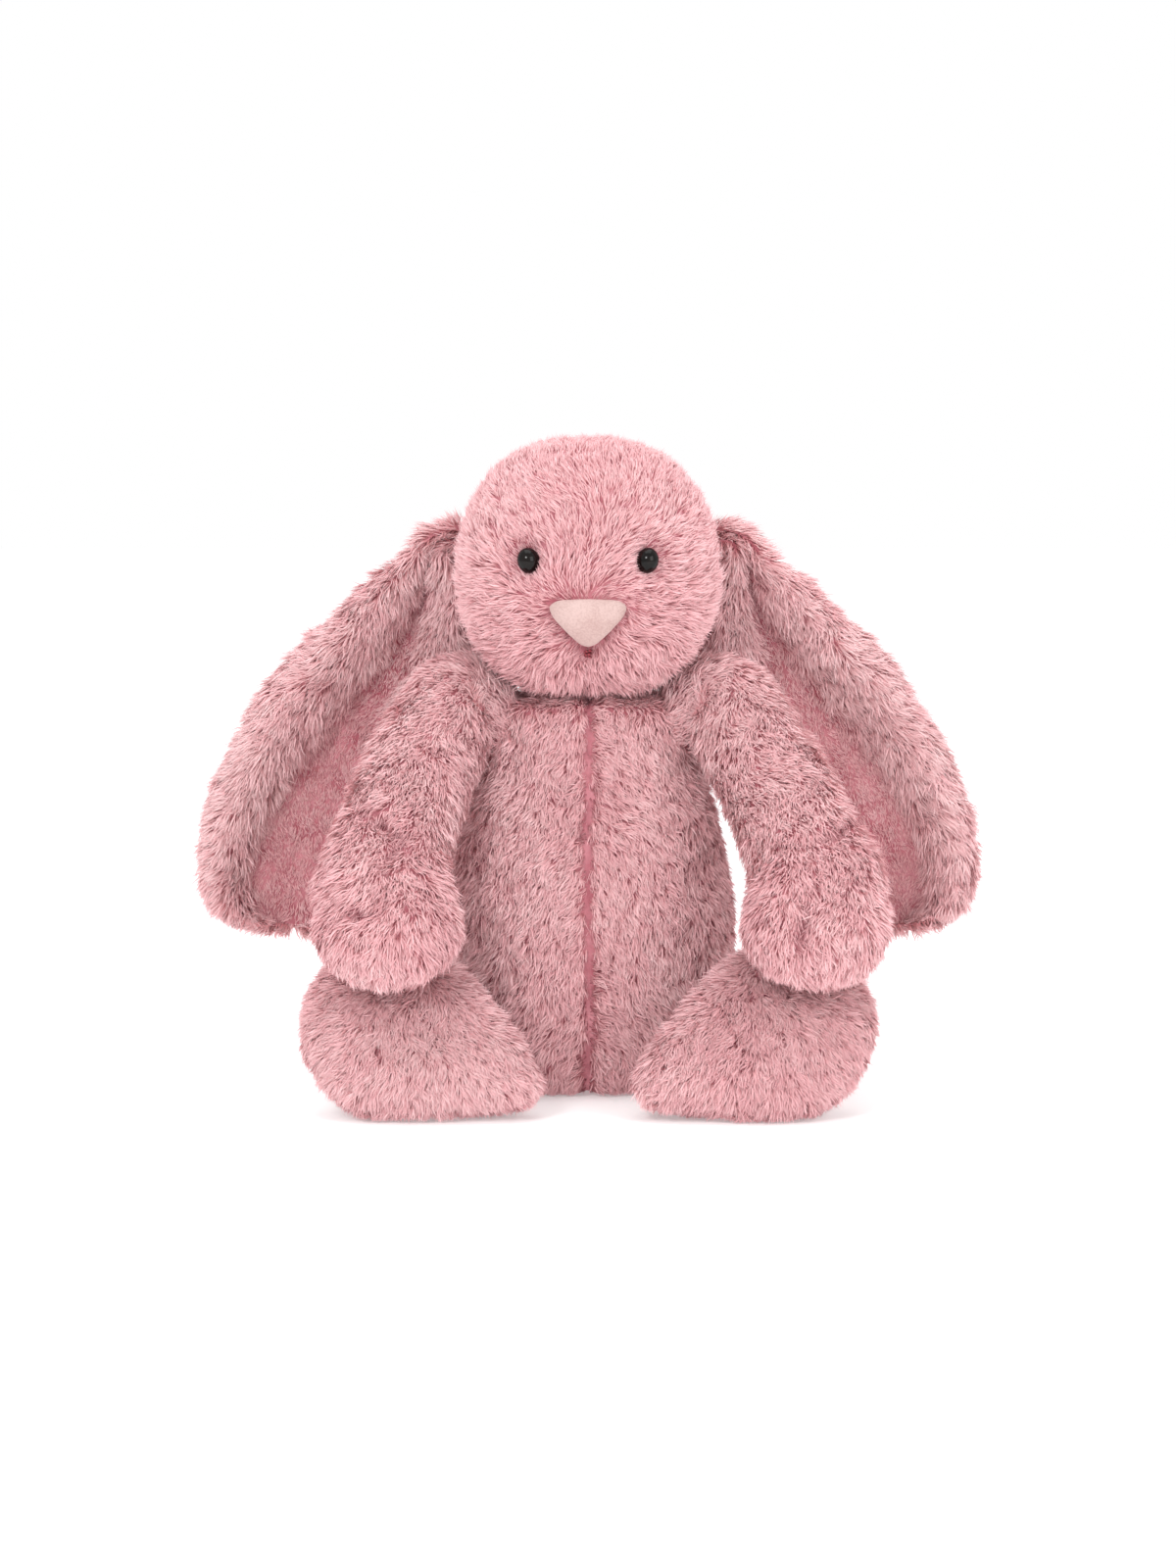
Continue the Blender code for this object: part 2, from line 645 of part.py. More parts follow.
def build_eye(name, side, looks, groups):
    """Safety eye: glossy dome with its shank, and the washer that locks it inside."""
    parts, cutters = groups
    place = eye_place(side)
    arc = [i * math.pi / 2 / 4 for i in range(5)]
    dome = [(EYE_RADIUS * math.sin(a), GAP + EYE_BULGE * math.cos(a)) for a in arc]
    shank = [(SHANK_RADIUS, GAP), (SHANK_RADIUS, -SHANK_LENGTH), (0.0, -SHANK_LENGTH)]
    eye = turned(name, dome + shank, looks["eye"], place, parts)
    top = -CLOTH - FILL_GAP
    ring = [(SHANK_RADIUS + GAP, top), (WASHER_RADIUS, top), (WASHER_RADIUS, top - WASHER_THICKNESS),
            (SHANK_RADIUS + GAP, top - WASHER_THICKNESS)]
    washer = turned(name + "_washer", ring, looks["washer"], place, parts, closed=True)
    hole = cylinder_cutter(name + "_hole", SHANK_RADIUS + GAP, -2 * CLOTH, CLOTH, place, cutters)
    recess = cylinder_cutter(name + "_recess", WASHER_RADIUS + GAP, -SHANK_LENGTH - GAP,
                             CLOTH, place, cutters)
    return [eye, washer], hole, recess


def nose_form(u, v):
    """Nose patch: u from its bowed top edge to its tip, v from -1 to 1 across."""
    taper = (1 - u)**0.8
    half = (NOSE_TIP_WIDTH + (NOSE_WIDTH - NOSE_TIP_WIDTH) * taper) / 2
    round_top = np.sqrt(np.clip(1 - np.clip(0.16 - u, 0, 1)**2 / 0.16**2 * 0.30, 0, 1))
    x = v * half * round_top
    z = -NOSE_DROP - NOSE_HEIGHT * u - 0.8 * (1 - u) * (1 - v**2)
    return face_point(x, z) - np.array([0, GAP, 0])


def build_head(looks, groups, joints):
    """Head covers, filling, nose, mouth stitch and eyes."""
    parts, cutters = groups
    pieces = []
    neck = form_solid("neck_cutter", ball_form(NECK_RADIUS + 1.5 * GAP), (16, 10))
    neck_cutter = hide_cutter(add_object("neck_cutter", neck, looks["plush"], cutters))
    filling = add_object("head_stuffing", form_solid("head_stuffing", head_form, (16, 12),
                                                     CLOTH + FILL_GAP), looks["fibre"], parts)
    cut(filling, neck_cutter)
    for label, side in SIDES:
        name = f"head_{label}_panel"
        panel = add_object(name, form_sheet(name, head_side_form(side),
                                            (PANEL_STEPS, GUSSET_STEPS + CHIN_STEPS), panel_rows, around_head,
                                            HEAD_CENTRE), looks["plush"], parts)
        thicken(panel, CLOTH)
        eye, hole, recess = build_eye(f"{label}_eye", side, looks, groups)
        cut(panel, hole)
        cut(panel, neck_cutter)
        cut(filling, recess)
        pieces += [panel, *eye]
    gusset = add_object("head_gusset", form_sheet("head_gusset", gusset_form, (5, GUSSET_STEPS),
                                                  hemmed(5, HEM_SHARE), (GUSSET_START, GUSSET_END),
                                                  HEAD_CENTRE),
                        looks["plush"], parts)
    thicken(gusset, CLOTH)
    nose = add_object("nose_patch", form_sheet("nose_patch", nose_form, (6, 6), (0, 1), (-1, 1),
                                               HEAD_CENTRE), looks["velour"], parts)
    thicken(nose, NOSE_CLOTH, outward=True)
    below = face_point(np.array([0.0]), np.array([-NOSE_DROP - NOSE_HEIGHT - STITCH_DROP]))[0]
    knot_centre = below - np.array([0, STITCH_RADIUS + GAP, 0])
    knot = add_object("mouth_stitch", form_solid("mouth_stitch", knot_form(knot_centre), (8, 6)),
                      looks["thread"], parts)
    for piece in pieces + [filling, gusset, nose, knot]:
        attach(piece, joints["nod"])


def ball_form(radius):
    """Ball about the neck's pivot."""
    def form(u, v):
        ring = np.sin(np.pi * u)
        direction = np.stack([ring * np.cos(v), ring * np.sin(v), np.cos(np.pi * u)], axis=-1)
        return direction * radius + np.array([0, 0, NECK_HEIGHT])
    return form


def knot_form(centre):
    """Small upright thread knot."""
    def form(u, v):
        ring = np.sin(np.pi * u)
        shape = np.stack([ring * np.cos(v), ring * np.sin(v), 1.3 * np.cos(np.pi * u)], axis=-1)
        return shape * STITCH_RADIUS + centre
    return form


def build_ears(looks, parts, joints):
    """Both ears: long-pile back rolled forwards round a short-pile lining."""
    around, along = 14, 8
    trim = 2 / around
    for label, side in SIDES:
        form = ear_form(side)
        ahead = ear_hinge(side) + np.array([side * 0.3, 0, -0.5]) * EAR_LENGTH - np.array([0, 400, 0])
        back = form_sheet(f"{label}_ear_back", form, (along, around), (0, 0.995), (-1, 1), ahead)
        back = add_object(f"{label}_ear_back", back, looks["plush"], parts, ear_hinge(side))
        thicken(back, EAR_BACK_CLOTH, outward=True)
        lining = form_sheet(f"{label}_ear_lining", form, (along, around - 2), (0, 0.995),
                            (-1 + trim, 1 - trim), ahead)
        push_in(lining, GAP)
        lining = add_object(f"{label}_ear_lining", lining, looks["lining"], parts, ear_hinge(side))
        thicken(lining, EAR_LINING_CLOTH)
        for piece in (back, lining):
            attach(piece, joints[f"{label}_ear"])


def push_in(mesh, distance):
    """Move a sheet's points against their normals."""
    edit = bmesh.new()
    edit.from_mesh(mesh)
    edit.normal_update()
    moves = [(vert, vert.co - vert.normal * distance) for vert in edit.verts]
    for vert, place in moves:
        vert.co = place
    edit.to_mesh(mesh)
    edit.free()


def build_torso(looks, groups):
    """Torso covers, seat panel, filling, bean bag, tail and care label."""
    parts = groups[0]
    across = 6
    for name, middle in (("front_left", -0.25), ("front_right", -0.75),
                         ("back_left", 0.25), ("back_right", 0.75)):
        sheet = form_sheet(f"torso_{name}", torso_quarter(middle * math.pi), (12, across), (0, 1),
                           hemmed(across, HEM_SHARE), (0, 0, TORSO_TOP / 2))
        thicken(add_object(f"torso_{name}", sheet, looks["plush"], parts), CLOTH)
    seat = bpy.data.meshes.new("seat_panel")
    edit = bmesh.new()
    bmesh.ops.create_cone(edit, cap_ends=True, segments=20, radius1=1.0, radius2=1.0, depth=CLOTH)
    # The torso's hem leans in over the seat's edge by less than half its cloth.
    reach = [share * size - SEAM - CLOTH / 2 for share, size in
             zip(SEAT_SHARE, (TORSO_WIDTH / 2, min(TORSO_FRONT, TORSO_BACK)))]
    for vert in edit.verts:
        vert.co = (vert.co.x * reach[0], vert.co.y * reach[1], vert.co.z + CLOTH / 2)
    edit.to_mesh(seat)
    edit.free()
    add_object("seat_panel", seat, looks["plush"], parts)
    inset = CLOTH + FILL_GAP
    cutter = bpy.data.objects["neck_cutter"]
    filling = form_solid("torso_stuffing", torso_core, (16, 16), inset, (PELLET_HEIGHT + GAP, True))
    cut(add_object("torso_stuffing", filling, looks["fibre"], parts), cutter)
    beans = form_solid("torso_bean_bag", torso_core, (16, 16), inset, (PELLET_HEIGHT, False))
    add_object("torso_bean_bag", beans, looks["pellets"], parts)
    open_end = 0.84
    cover = form_sheet("tail_cover", tail_form, (6, 12), (0, open_end), (0, 2 * math.pi), TAIL_CENTRE)
    thicken(add_object("tail_cover", cover, looks["plush"], parts), CLOTH)
    add_object("tail_stuffing", form_solid("tail_stuffing", tail_form, (10, 8), CLOTH + FILL_GAP),
               looks["fibre"], parts)
    label = bpy.data.meshes.new("care_label")
    edit = bmesh.new()
    bmesh.ops.create_cube(edit, size=1.0)
    hem = torso_form(np.array([LABEL_HEIGHT_SHARE]), np.array([math.pi / 2]))[0]
    for vert in edit.verts:
        vert.co = ((vert.co.x + 0.5) * LABEL_WIDTH + LABEL_ASIDE,
                   (vert.co.y + 0.5) * LABEL_LENGTH + hem[1] + 2 * GAP,
                   vert.co.z * LABEL_THICKNESS + hem[2])
    edit.to_mesh(label)
    edit.free()
    add_object("care_label", label, looks["satin"], parts)


def build_arms(looks, parts, joints):
    """Both arms: a front and a back panel over one filling."""
    for label, side in SIDES:
        form = arm_form(side)
        route = np.array(arm_route(side))
        middle = route[len(route) // 2, :3]
        for name, turn in (("front", 0.0), ("back", math.pi)):
            sheet = form_sheet(f"{label}_arm_{name}", half_form(form, turn), (12, HALF_STEPS),
                               open_ends(form), (0, 1), middle)
            panel = add_object(f"{label}_arm_{name}", sheet, looks["plush"], parts, shoulder(side))
            thicken(panel, CLOTH)
            attach(panel, joints[f"{label}_arm"])
        filling = form_solid(f"{label}_arm_stuffing", form, (12, 12), CLOTH + FILL_GAP)
        filling = add_object(f"{label}_arm_stuffing", filling, looks["fibre"], parts, shoulder(side))
        attach(filling, joints[f"{label}_arm"])


# Rows of a foot's panel from its middle to its seam, where the section turns sharply.
FOOT_ROWS = (0.0, 0.35, 0.65, 0.88, 1 - HEM_SHARE, 1.0)


def build_legs(looks, groups, joints):
    """Both legs: thigh, sole and instep panels, filling and beans."""
    parts, cutters = groups
    for label, side in SIDES:
        form = foot_form(side)
        centre = foot_centre(side)
        socket = hip(side)
        pieces = []
        edge = 0.5 - math.asin(SEAM / FOOT_THICKNESS) / math.pi
        for name, turn in (("sole", 0), ("instep", 1)):
            rows = np.linspace(0, 1, len(FOOT_ROWS)), np.abs(turn - np.array(FOOT_ROWS) * edge)
            sheet = form_sheet(f"{label}_foot_{name}", form, (len(FOOT_ROWS) - 1, 16),
                               lambda t, rows=rows: np.interp(t, *rows), (0, 2 * math.pi), centre)
            panel = add_object(f"{label}_foot_{name}", sheet, looks["plush"], parts, socket)
            thicken(panel, CLOTH)
            pieces.append(panel)
        for name, look, keep in (("stuffing", "fibre", (FOOT_PELLET_LEVEL + GAP, True)),
                                 ("beans", "pellets", (FOOT_PELLET_LEVEL, False))):
            solid = form_solid(f"{label}_foot_{name}", form, (14, 12), CLOTH + FILL_GAP, keep)
            pieces.append(add_object(f"{label}_foot_{name}", solid, looks[look], parts, socket))
        grown = form_solid(f"{label}_foot_cutter", foot_form(side, 2 * GAP), (20, 16))
        foot_cutter = hide_cutter(add_object(f"{label}_foot_cutter", grown, looks["plush"], cutters))
        target = centre + np.array([0, 0, -0.1 * FOOT_WIDTH])
        route = [(*(socket + share * (target - socket)), HIP_RADIUS * grow, HIP_RADIUS * grow)
                 for share, grow in ((0.0, 1.0), (0.3, 1.05), (0.6, 1.12))]
        thigh = form_solid(f"{label}_thigh", lambda u, v: sweep(route, (0, 0, 1), u, v), (14, 10))
        thigh = add_object(f"{label}_thigh", thigh, looks["plush"], parts, socket)
        cut(thigh, foot_cutter)
        for piece in pieces + [thigh]:
            attach(piece, joints[f"{label}_leg"])


def build_joints(group):
    """Empties on the joints' axes, in the order the rabbit hangs together."""
    turn = joint_empty("neck_turn", (0, 0, NECK_HEIGHT), group)
    nod = joint_empty("neck_nod", (0, 0, NECK_HEIGHT), group, turn)
    joints = {"turn": turn, "nod": nod}
    for label, side in SIDES:
        joints[f"{label}_ear"] = joint_empty(f"{label}_ear_hinge", ear_hinge(side), group, nod)
        joints[f"{label}_arm"] = joint_empty(f"{label}_shoulder", shoulder(side), group)
        joints[f"{label}_leg"] = joint_empty(f"{label}_hip", hip(side), group)
    return joints


def build():
    """Build the whole rabbit."""
    clear_scene()
    parts = collection("plush_rabbit")
    cutters = collection("cutters")
    looks = {
        "plush": material("pink_plush", PINK),
        "lining": material("ear_lining_plush", LINING_PINK),
        "velour": material("nose_velour", NOSE_PINK, 0.8),
        "eye": material("black_eye_plastic", EYE_BLACK, 0.08),
        "washer": material("white_washer_plastic", WASHER_WHITE, 0.5),
        "thread": material("dark_red_thread", THREAD_RED, 0.8),
        "fibre": material("polyester_stuffing", FIBRE_WHITE),
        "pellets": material("bean_pellets", PELLET_WHITE, 0.5),
        "satin": material("white_satin_label", SATIN_WHITE, 0.4),
    }
    joints = build_joints(parts)
    build_head(looks, (parts, cutters), joints)
    build_ears(looks, parts, joints)
    build_torso(looks, (parts, cutters))
    build_arms(looks, parts, joints)
    build_legs(looks, (parts, cutters), joints)
    ball = form_solid("neck_stuffing", ball_form(NECK_RADIUS), (14, 8))
    attach(add_object("neck_stuffing", ball, looks["fibre"], parts, (0, 0, NECK_HEIGHT)), joints["turn"])


build()
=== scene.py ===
"""Visual model of a seated plush rabbit with long lop ears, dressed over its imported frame.

Lengths in the classes are millimetres and become metres when a mesh is made.  The rabbit
faces -Y, its own left side is at +X and the floor is z = 0.  Every soft sub-assembly is a
sewn backing, which is a surface of two parameters, under a pile of combed fibre tufts.
"""

import logging
import math
from dataclasses import dataclass, field
from enum import Enum
from typing import Callable, Optional, Sequence

import bpy
import numpy as np
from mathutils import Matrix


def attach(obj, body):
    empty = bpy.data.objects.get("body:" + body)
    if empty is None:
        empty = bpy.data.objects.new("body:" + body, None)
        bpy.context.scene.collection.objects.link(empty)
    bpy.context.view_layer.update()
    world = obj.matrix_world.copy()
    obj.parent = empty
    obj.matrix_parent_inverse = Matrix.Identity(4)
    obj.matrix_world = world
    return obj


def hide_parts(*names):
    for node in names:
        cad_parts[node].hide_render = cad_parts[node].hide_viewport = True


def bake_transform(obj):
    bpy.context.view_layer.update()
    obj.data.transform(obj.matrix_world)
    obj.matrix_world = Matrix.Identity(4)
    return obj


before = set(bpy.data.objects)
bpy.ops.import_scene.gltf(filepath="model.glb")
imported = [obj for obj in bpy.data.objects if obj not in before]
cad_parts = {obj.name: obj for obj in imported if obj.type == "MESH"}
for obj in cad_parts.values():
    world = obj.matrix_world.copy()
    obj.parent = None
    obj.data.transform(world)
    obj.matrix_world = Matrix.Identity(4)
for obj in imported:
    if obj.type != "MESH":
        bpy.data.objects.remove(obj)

Array = np.ndarray
Surface = Callable[[Array, Array], Array]
MM = 0.001
BACKING_CLEARANCE = 1.2     # a backing stays this far above the floor
FIBRE_CLEARANCE = 0.1       # and a fibre this far
SHORTEST_TRIM = 0.02        # fibres trimmed shorter than this share are left out
TONE_CLOUD = 0.10           # slow change of tone over a pile
TONE_CLOUD_SIZE = 26.0
LOG = logging.getLogger("plush_rabbit")


class Side(Enum):
    """The rabbit's own left or right, with the sign of its X."""
    LEFT = 1
    RIGHT = -1

    @property
    def word(self) -> str:
        """Name used in bodies and nodes."""
        return self.name.lower()


# ---------------------------------------------------------------- numbers on arrays

def unit(vectors: Array) -> Array:
    """Vectors divided by their own length."""
    return vectors / np.maximum(np.linalg.norm(vectors, axis=-1, keepdims=True), 1e-9)


def along_surface(vectors: Array, normals: Array) -> Array:
    """Vectors with their part along the normals taken away, at unit length."""
    return unit(vectors - (vectors * normals).sum(-1, keepdims=True) * normals)


def cubic(t: Array, width: Array, ends: tuple[Array, Array], slopes: tuple[Array, Array]) -> Array:
    """Cubic with given end values and end slopes.

    Args:
        t: Share of the way along the span.
        width: Length of the span.
        ends: Values at the span's start and end.
        slopes: Slopes at the span's start and end.

    Returns:
        Values at t.
    """
    return (ends[0] * (2 * t**3 - 3 * t**2 + 1) + ends[1] * (3 * t**2 - 2 * t**3)
            + slopes[0] * (t**3 - 2 * t**2 + t) * width
            + slopes[1] * (t**3 - t**2) * width)


def smooth_curve(keys: Sequence[float], rows: Sequence, at: Array) -> Array:
    """Read a smooth curve through rows that stand at rising keys.

    Each span is a cubic whose end slopes are the mean of the slopes on both sides of the
    key.

    Args:
        keys: Rising key positions.
        rows: One row of values for each key.
        at: Positions to read, of any shape.

    Returns:
        Values of the rows' width for each position.
    """
    keys, rows = np.asarray(keys, float), np.asarray(rows, float)
    at = np.clip(np.asarray(at, float), keys[0], keys[-1])
    step = np.diff(keys)
    slope = np.diff(rows, axis=0) / step[:, None]
    tangent = np.vstack([slope[:1], (slope[:-1] + slope[1:]) / 2, slope[-1:]])
    span = np.clip(np.searchsorted(keys, at, side="right") - 1, 0, len(step) - 1)
    t, width = ((at - keys[span]) / step[span])[..., None], step[span][..., None]
    return cubic(t, width, (rows[span], rows[span + 1]), (tangent[span], tangent[span + 1]))


def hashed(cells: Array, salt: int) -> Array:
    """Give each whole-number cell a steady random number from 0 to 1.

    The three cell numbers are multiplied by large primes and summed, then the bits are
    folded and multiplied twice.

    Args:
        cells: Whole numbers, three in each row.
        salt: Picks another set of random numbers.

    Returns:
        One number for each row.
    """
    mixed = cells.astype(np.int64) @ np.array([73856093, 19349663, 83492791]) + salt * 668265263
    for _ in range(2):
        mixed = ((mixed & 0xFFFFFFFF) ^ ((mixed & 0xFFFFFFFF) >> 15)) * 73244475
    return ((mixed & 0xFFFFFFFF) ^ ((mixed & 0xFFFFFFFF) >> 16)) / 2.0**32 % 1.0


def ripple(points: Array, size: float, salt: int) -> Array:
    """Smooth random field from -1 to 1.

    Random numbers at the corners of a cubic lattice are blended by the point's smoothed
    place in its cell.

    Args:
        points: Places, three numbers in each row.
        size: Lattice spacing.
        salt: Picks another field.

    Returns:
        One number for each place.
    """
    cell = np.floor(points / size)
    place = points / size - cell
    place = place * place * (3 - 2 * place)
    total = np.zeros(points.shape[:-1])
    for corner in np.ndindex(2, 2, 2):
        share = np.where(np.array(corner) == 1, place, 1 - place).prod(-1)
        total += share * hashed(cell + corner, salt)
    return total * 2 - 1


def nearest_tuft(points: Array, spacing: float, salt: int) -> tuple[Array, Array]:
    """Find the tuft that each place belongs to.

    Every lattice cell holds one tuft at a random place, and the nearest of the tufts in
    the 27 cells around a point is its own.

    Args:
        points: Places, three numbers in each row.
        spacing: Lattice spacing, about the distance between tufts.
        salt: Picks another set of tufts.

    Returns:
        The tufts' places, and the cells that they stand in.
    """
    home = np.floor(points / spacing)
    best = np.full(len(points), np.inf)
    centre, key = np.zeros_like(points), np.zeros_like(points)
    for corner in np.ndindex(3, 3, 3):
        cell = home + np.array(corner) - 1
        place = (cell + np.stack([hashed(cell, salt + i) for i in range(3)], -1)) * spacing
        apart = ((place - points)**2).sum(-1)
        closer = apart < best
        best = np.where(closer, apart, best)
        centre[closer], key[closer] = place[closer], cell[closer]
    return centre, key


# ---------------------------------------------------------------- materials

def linear(code: str) -> tuple[float, float, float, float]:
    """Linear colour of an sRGB hex code."""
    parts = [int(code[i:i + 2], 16) / 255 for i in (1, 3, 5)]
    return (*[p / 12.92 if p <= 0.04045 else ((p + 0.055) / 1.055)**2.4 for p in parts], 1.0)


def set_inputs(tree: bpy.types.NodeTree, node: bpy.types.Node, inputs: dict) -> None:
    """Link or set each input of a node, by its name or number."""
    for name, value in inputs.items():
        if isinstance(value, bpy.types.NodeSocket):
            tree.links.new(value, node.inputs[name])
        else:
            node.inputs[name].default_value = value


def add_node(tree: bpy.types.NodeTree, kind: str, inputs: Optional[dict] = None,
             stops: Sequence[tuple[float, str]] = (), **settings: object) -> bpy.types.Node:
    """Add a node with its settings, values and links.

    Args:
        tree: Node tree that gets the node.
        kind: Node type without its "ShaderNode" prefix.
        inputs: Value or source socket for each input name or number.
        stops: Place and hex colour of each stop, for a ramp.
        settings: Attributes of the node.

    Returns:
        The new node.
    """
    node = tree.nodes.new("ShaderNode" + kind)
    for name, value in settings.items():
        setattr(node, name, value)
    for at, (place, code) in enumerate(stops):
        elements = node.color_ramp.elements
        stop = elements[at] if at < 2 else elements.new(place)
        stop.position, stop.color = place, linear(code)
    set_inputs(tree, node, inputs or {})
    return node


@dataclass(frozen=True)
class Finish:
    """A material of one name, built once and shared by the pieces that wear it."""
    name: str

    def wire(self, tree: bpy.types.NodeTree, shader: bpy.types.Node) -> None:
        """Lay the finish's nodes in front of its Principled shader."""

    def material(self) -> bpy.types.Material:
        """The finish's material, made the first time it is asked for."""
        found = bpy.data.materials.get(self.name)
        if found is None:
            found = bpy.data.materials.new(self.name)
            found.use_nodes = True
            self.wire(found.node_tree, found.node_tree.nodes["Principled BSDF"])
        return found


@dataclass(frozen=True)
class PlushPile(Finish):
    """Crimped polyester pile in rose: deeper towards the roots as painted shade within the pile, pale
    and hazy at the tips.

    The map's first number is a fibre's own tone and the second runs from root to tip, so
    the colour of a tuft follows the fibres and not the space around them.
    """
    # Root colours are deeper than tip colours: painted shade deep in the pile.
    roots: tuple[str, str, str] = ("#641f27", "#c47378", "#da9b9e")
    tips: tuple[str, str, str] = ("#9c525b", "#efbcc0", "#f9dcdc")
    sheen: float = 0.35

    def wire(self, tree: bpy.types.NodeTree, shader: bpy.types.Node) -> None:
        """Mix the root and tip colours of each tone by the place along the fibre."""
        uv = add_node(tree, "UVMap", uv_map="OFBake")
        split = add_node(tree, "SeparateXYZ", {0: uv.outputs[0]})
        root, tip = (add_node(tree, "ValToRGB", {0: split.outputs[0]},
                              stops=tuple(zip((0.0, 1.0, 0.5), (row[0], row[2], row[1]))))
                     for row in (self.roots, self.tips))
        share = add_node(tree, "MapRange", {0: split.outputs[1], 1: 0.0, 2: 0.8},
                         interpolation_type="SMOOTHSTEP")
        colour = add_node(tree, "Mix", {0: share.outputs[0], 6: root.outputs[0],
                                        7: tip.outputs[0]}, data_type="RGBA")
        set_inputs(tree, shader, {"Base Color": colour.outputs[2], "Roughness": 0.75,
                                  "Specular IOR Level": 0.25, "Sheen Weight": self.sheen,
                                  "Sheen Roughness": 0.45, "Sheen Tint": linear("#ffdfe2")})


@dataclass(frozen=True)
class KnitBacking(Finish):
    """Knitted polyester ground of the plush, dyed deeper: dull, with a fine loop grain."""
    light: str = "#cf8c94"
    dark: str = "#a85c67"

    def wire(self, tree: bpy.types.NodeTree, shader: bpy.types.Node) -> None:
        """Cloudy dye under a loop grain 1.2 mm apart."""
        place = add_node(tree, "TexCoord").outputs["Object"]
        cloud = add_node(tree, "TexNoise", {"Vector": place, "Scale": 90.0, "Detail": 4.0})
        loops = add_node(tree, "TexVoronoi", {"Vector": place, "Scale": 830.0})
        colour = add_node(tree, "ValToRGB", {0: cloud.outputs[0]},
                          stops=((0.35, self.dark), (0.65, self.light)))
        bump = add_node(tree, "Bump", {"Height": loops.outputs["Distance"], "Strength": 0.5,
                                       "Distance": 0.0006})
        set_inputs(tree, shader, {"Base Color": colour.outputs[0], "Normal": bump.outputs[0],
                                  "Roughness": 0.95})


@dataclass(frozen=True)
class NoseVelour(Finish):
    """Short flocked velour in cream pink: smooth, soft-edged light and a fine nap."""
    pale: str = "#cbafaa"
    deep: str = "#b89994"

    def wire(self, tree: bpy.types.NodeTree, shader: bpy.types.Node) -> None:
        """Brushed nap 0.7 mm across over faint cloudiness 8 mm across."""
        place = add_node(tree, "TexCoord").outputs["Object"]
        nap = add_node(tree, "TexNoise", {"Vector": place, "Scale": 1400.0, "Detail": 3.0})
        cloud = add_node(tree, "TexNoise", {"Vector": place, "Scale": 120.0, "Detail": 2.0})
        mixed = add_node(tree, "Math", {0: nap.outputs[0], 1: cloud.outputs[0]}, operation="ADD")
        halved = add_node(tree, "Math", {0: mixed.outputs[0], 1: 0.5}, operation="MULTIPLY")
        colour = add_node(tree, "ValToRGB", {0: halved.outputs[0]},
                          stops=((0.36, self.deep), (0.58, self.pale)))
        bump = add_node(tree, "Bump", {"Height": nap.outputs[0], "Strength": 0.35,
                                       "Distance": 0.0004})
        set_inputs(tree, shader, {"Base Color": colour.outputs[0], "Normal": bump.outputs[0],
                                  "Roughness": 0.85, "Sheen Weight": 0.5, "Sheen Roughness": 0.3})


@dataclass(frozen=True)
class MouldedEye(Finish):
    """Injection-moulded acrylic eye, near black: mirror-smooth under a clear outer skin."""
    colour: str = "#070404"
    depth: str = "#120a08"

    def wire(self, tree: bpy.types.NodeTree, shader: bpy.types.Node) -> None:
        """A faint brown depth in soft patches under the gloss."""
        place = add_node(tree, "TexCoord").outputs["Object"]
        cloud = add_node(tree, "TexNoise", {"Vector": place, "Scale": 260.0, "Detail": 1.0})
        colour = add_node(tree, "ValToRGB", {0: cloud.outputs[0]},
                          stops=((0.4, self.colour), (0.7, self.depth)))
        set_inputs(tree, shader, {"Base Color": colour.outputs[0], "Roughness": 0.12,
                                  "Specular IOR Level": 0.0, "Coat Weight": 0.5,
                                  "Coat Roughness": 0.03})


@dataclass(frozen=True)
class TwistedThread(Finish):
    """Twisted embroidery thread in dark red: silky strands across a rope-like twist."""
    light: str = "#9c3a44"
    dark: str = "#5c1820"

    def wire(self, tree: bpy.types.NodeTree, shader: bpy.types.Node) -> None:
        """Strand bands 0.5 mm apart, slanted across the thread."""
        place = add_node(tree, "TexCoord").outputs["Object"]
        turned = add_node(tree, "Mapping", {0: place, "Rotation": (0.0, 0.7, 0.5)})
        strands = add_node(tree, "TexWave", {"Vector": turned.outputs[0], "Scale": 320.0,
                                             "Distortion": 1.5, "Detail": 1.0})
        colour = add_node(tree, "ValToRGB", {0: strands.outputs["Fac"]},
                          stops=((0.2, self.dark), (0.8, self.light)))
        bump = add_node(tree, "Bump", {"Height": strands.outputs["Fac"], "Strength": 0.7,
                                       "Distance": 0.0003})
        set_inputs(tree, shader, {"Base Color": colour.outputs[0], "Normal": bump.outputs[0],
                                  "Roughness": 0.5})


@dataclass(frozen=True)
class SatinRibbon(Finish):
    """Woven satin ribbon, off white: a soft gloss broken by fine crosswise ribs."""
    light: str = "#f4f1ec"
    dark: str = "#dcd7d0"

    def wire(self, tree: bpy.types.NodeTree, shader: bpy.types.Node) -> None:
        """Crosswise ribs 0.6 mm apart, coarser than real satin so that they show."""
        place = add_node(tree, "TexCoord").outputs["Object"]
        ribs = add_node(tree, "TexWave", {"Vector": place, "Scale": 260.0, "Distortion": 0.4},
                        bands_direction="Z")
        colour = add_node(tree, "ValToRGB", {0: ribs.outputs["Fac"]},
                          stops=((0.1, self.dark), (0.7, self.light)))
        bump = add_node(tree, "Bump", {"Height": ribs.outputs["Fac"], "Strength": 0.3,
                                       "Distance": 0.0002})
        set_inputs(tree, shader, {"Base Color": colour.outputs[0], "Normal": bump.outputs[0],
                                  "Roughness": 0.4, "Sheen Weight": 0.3})


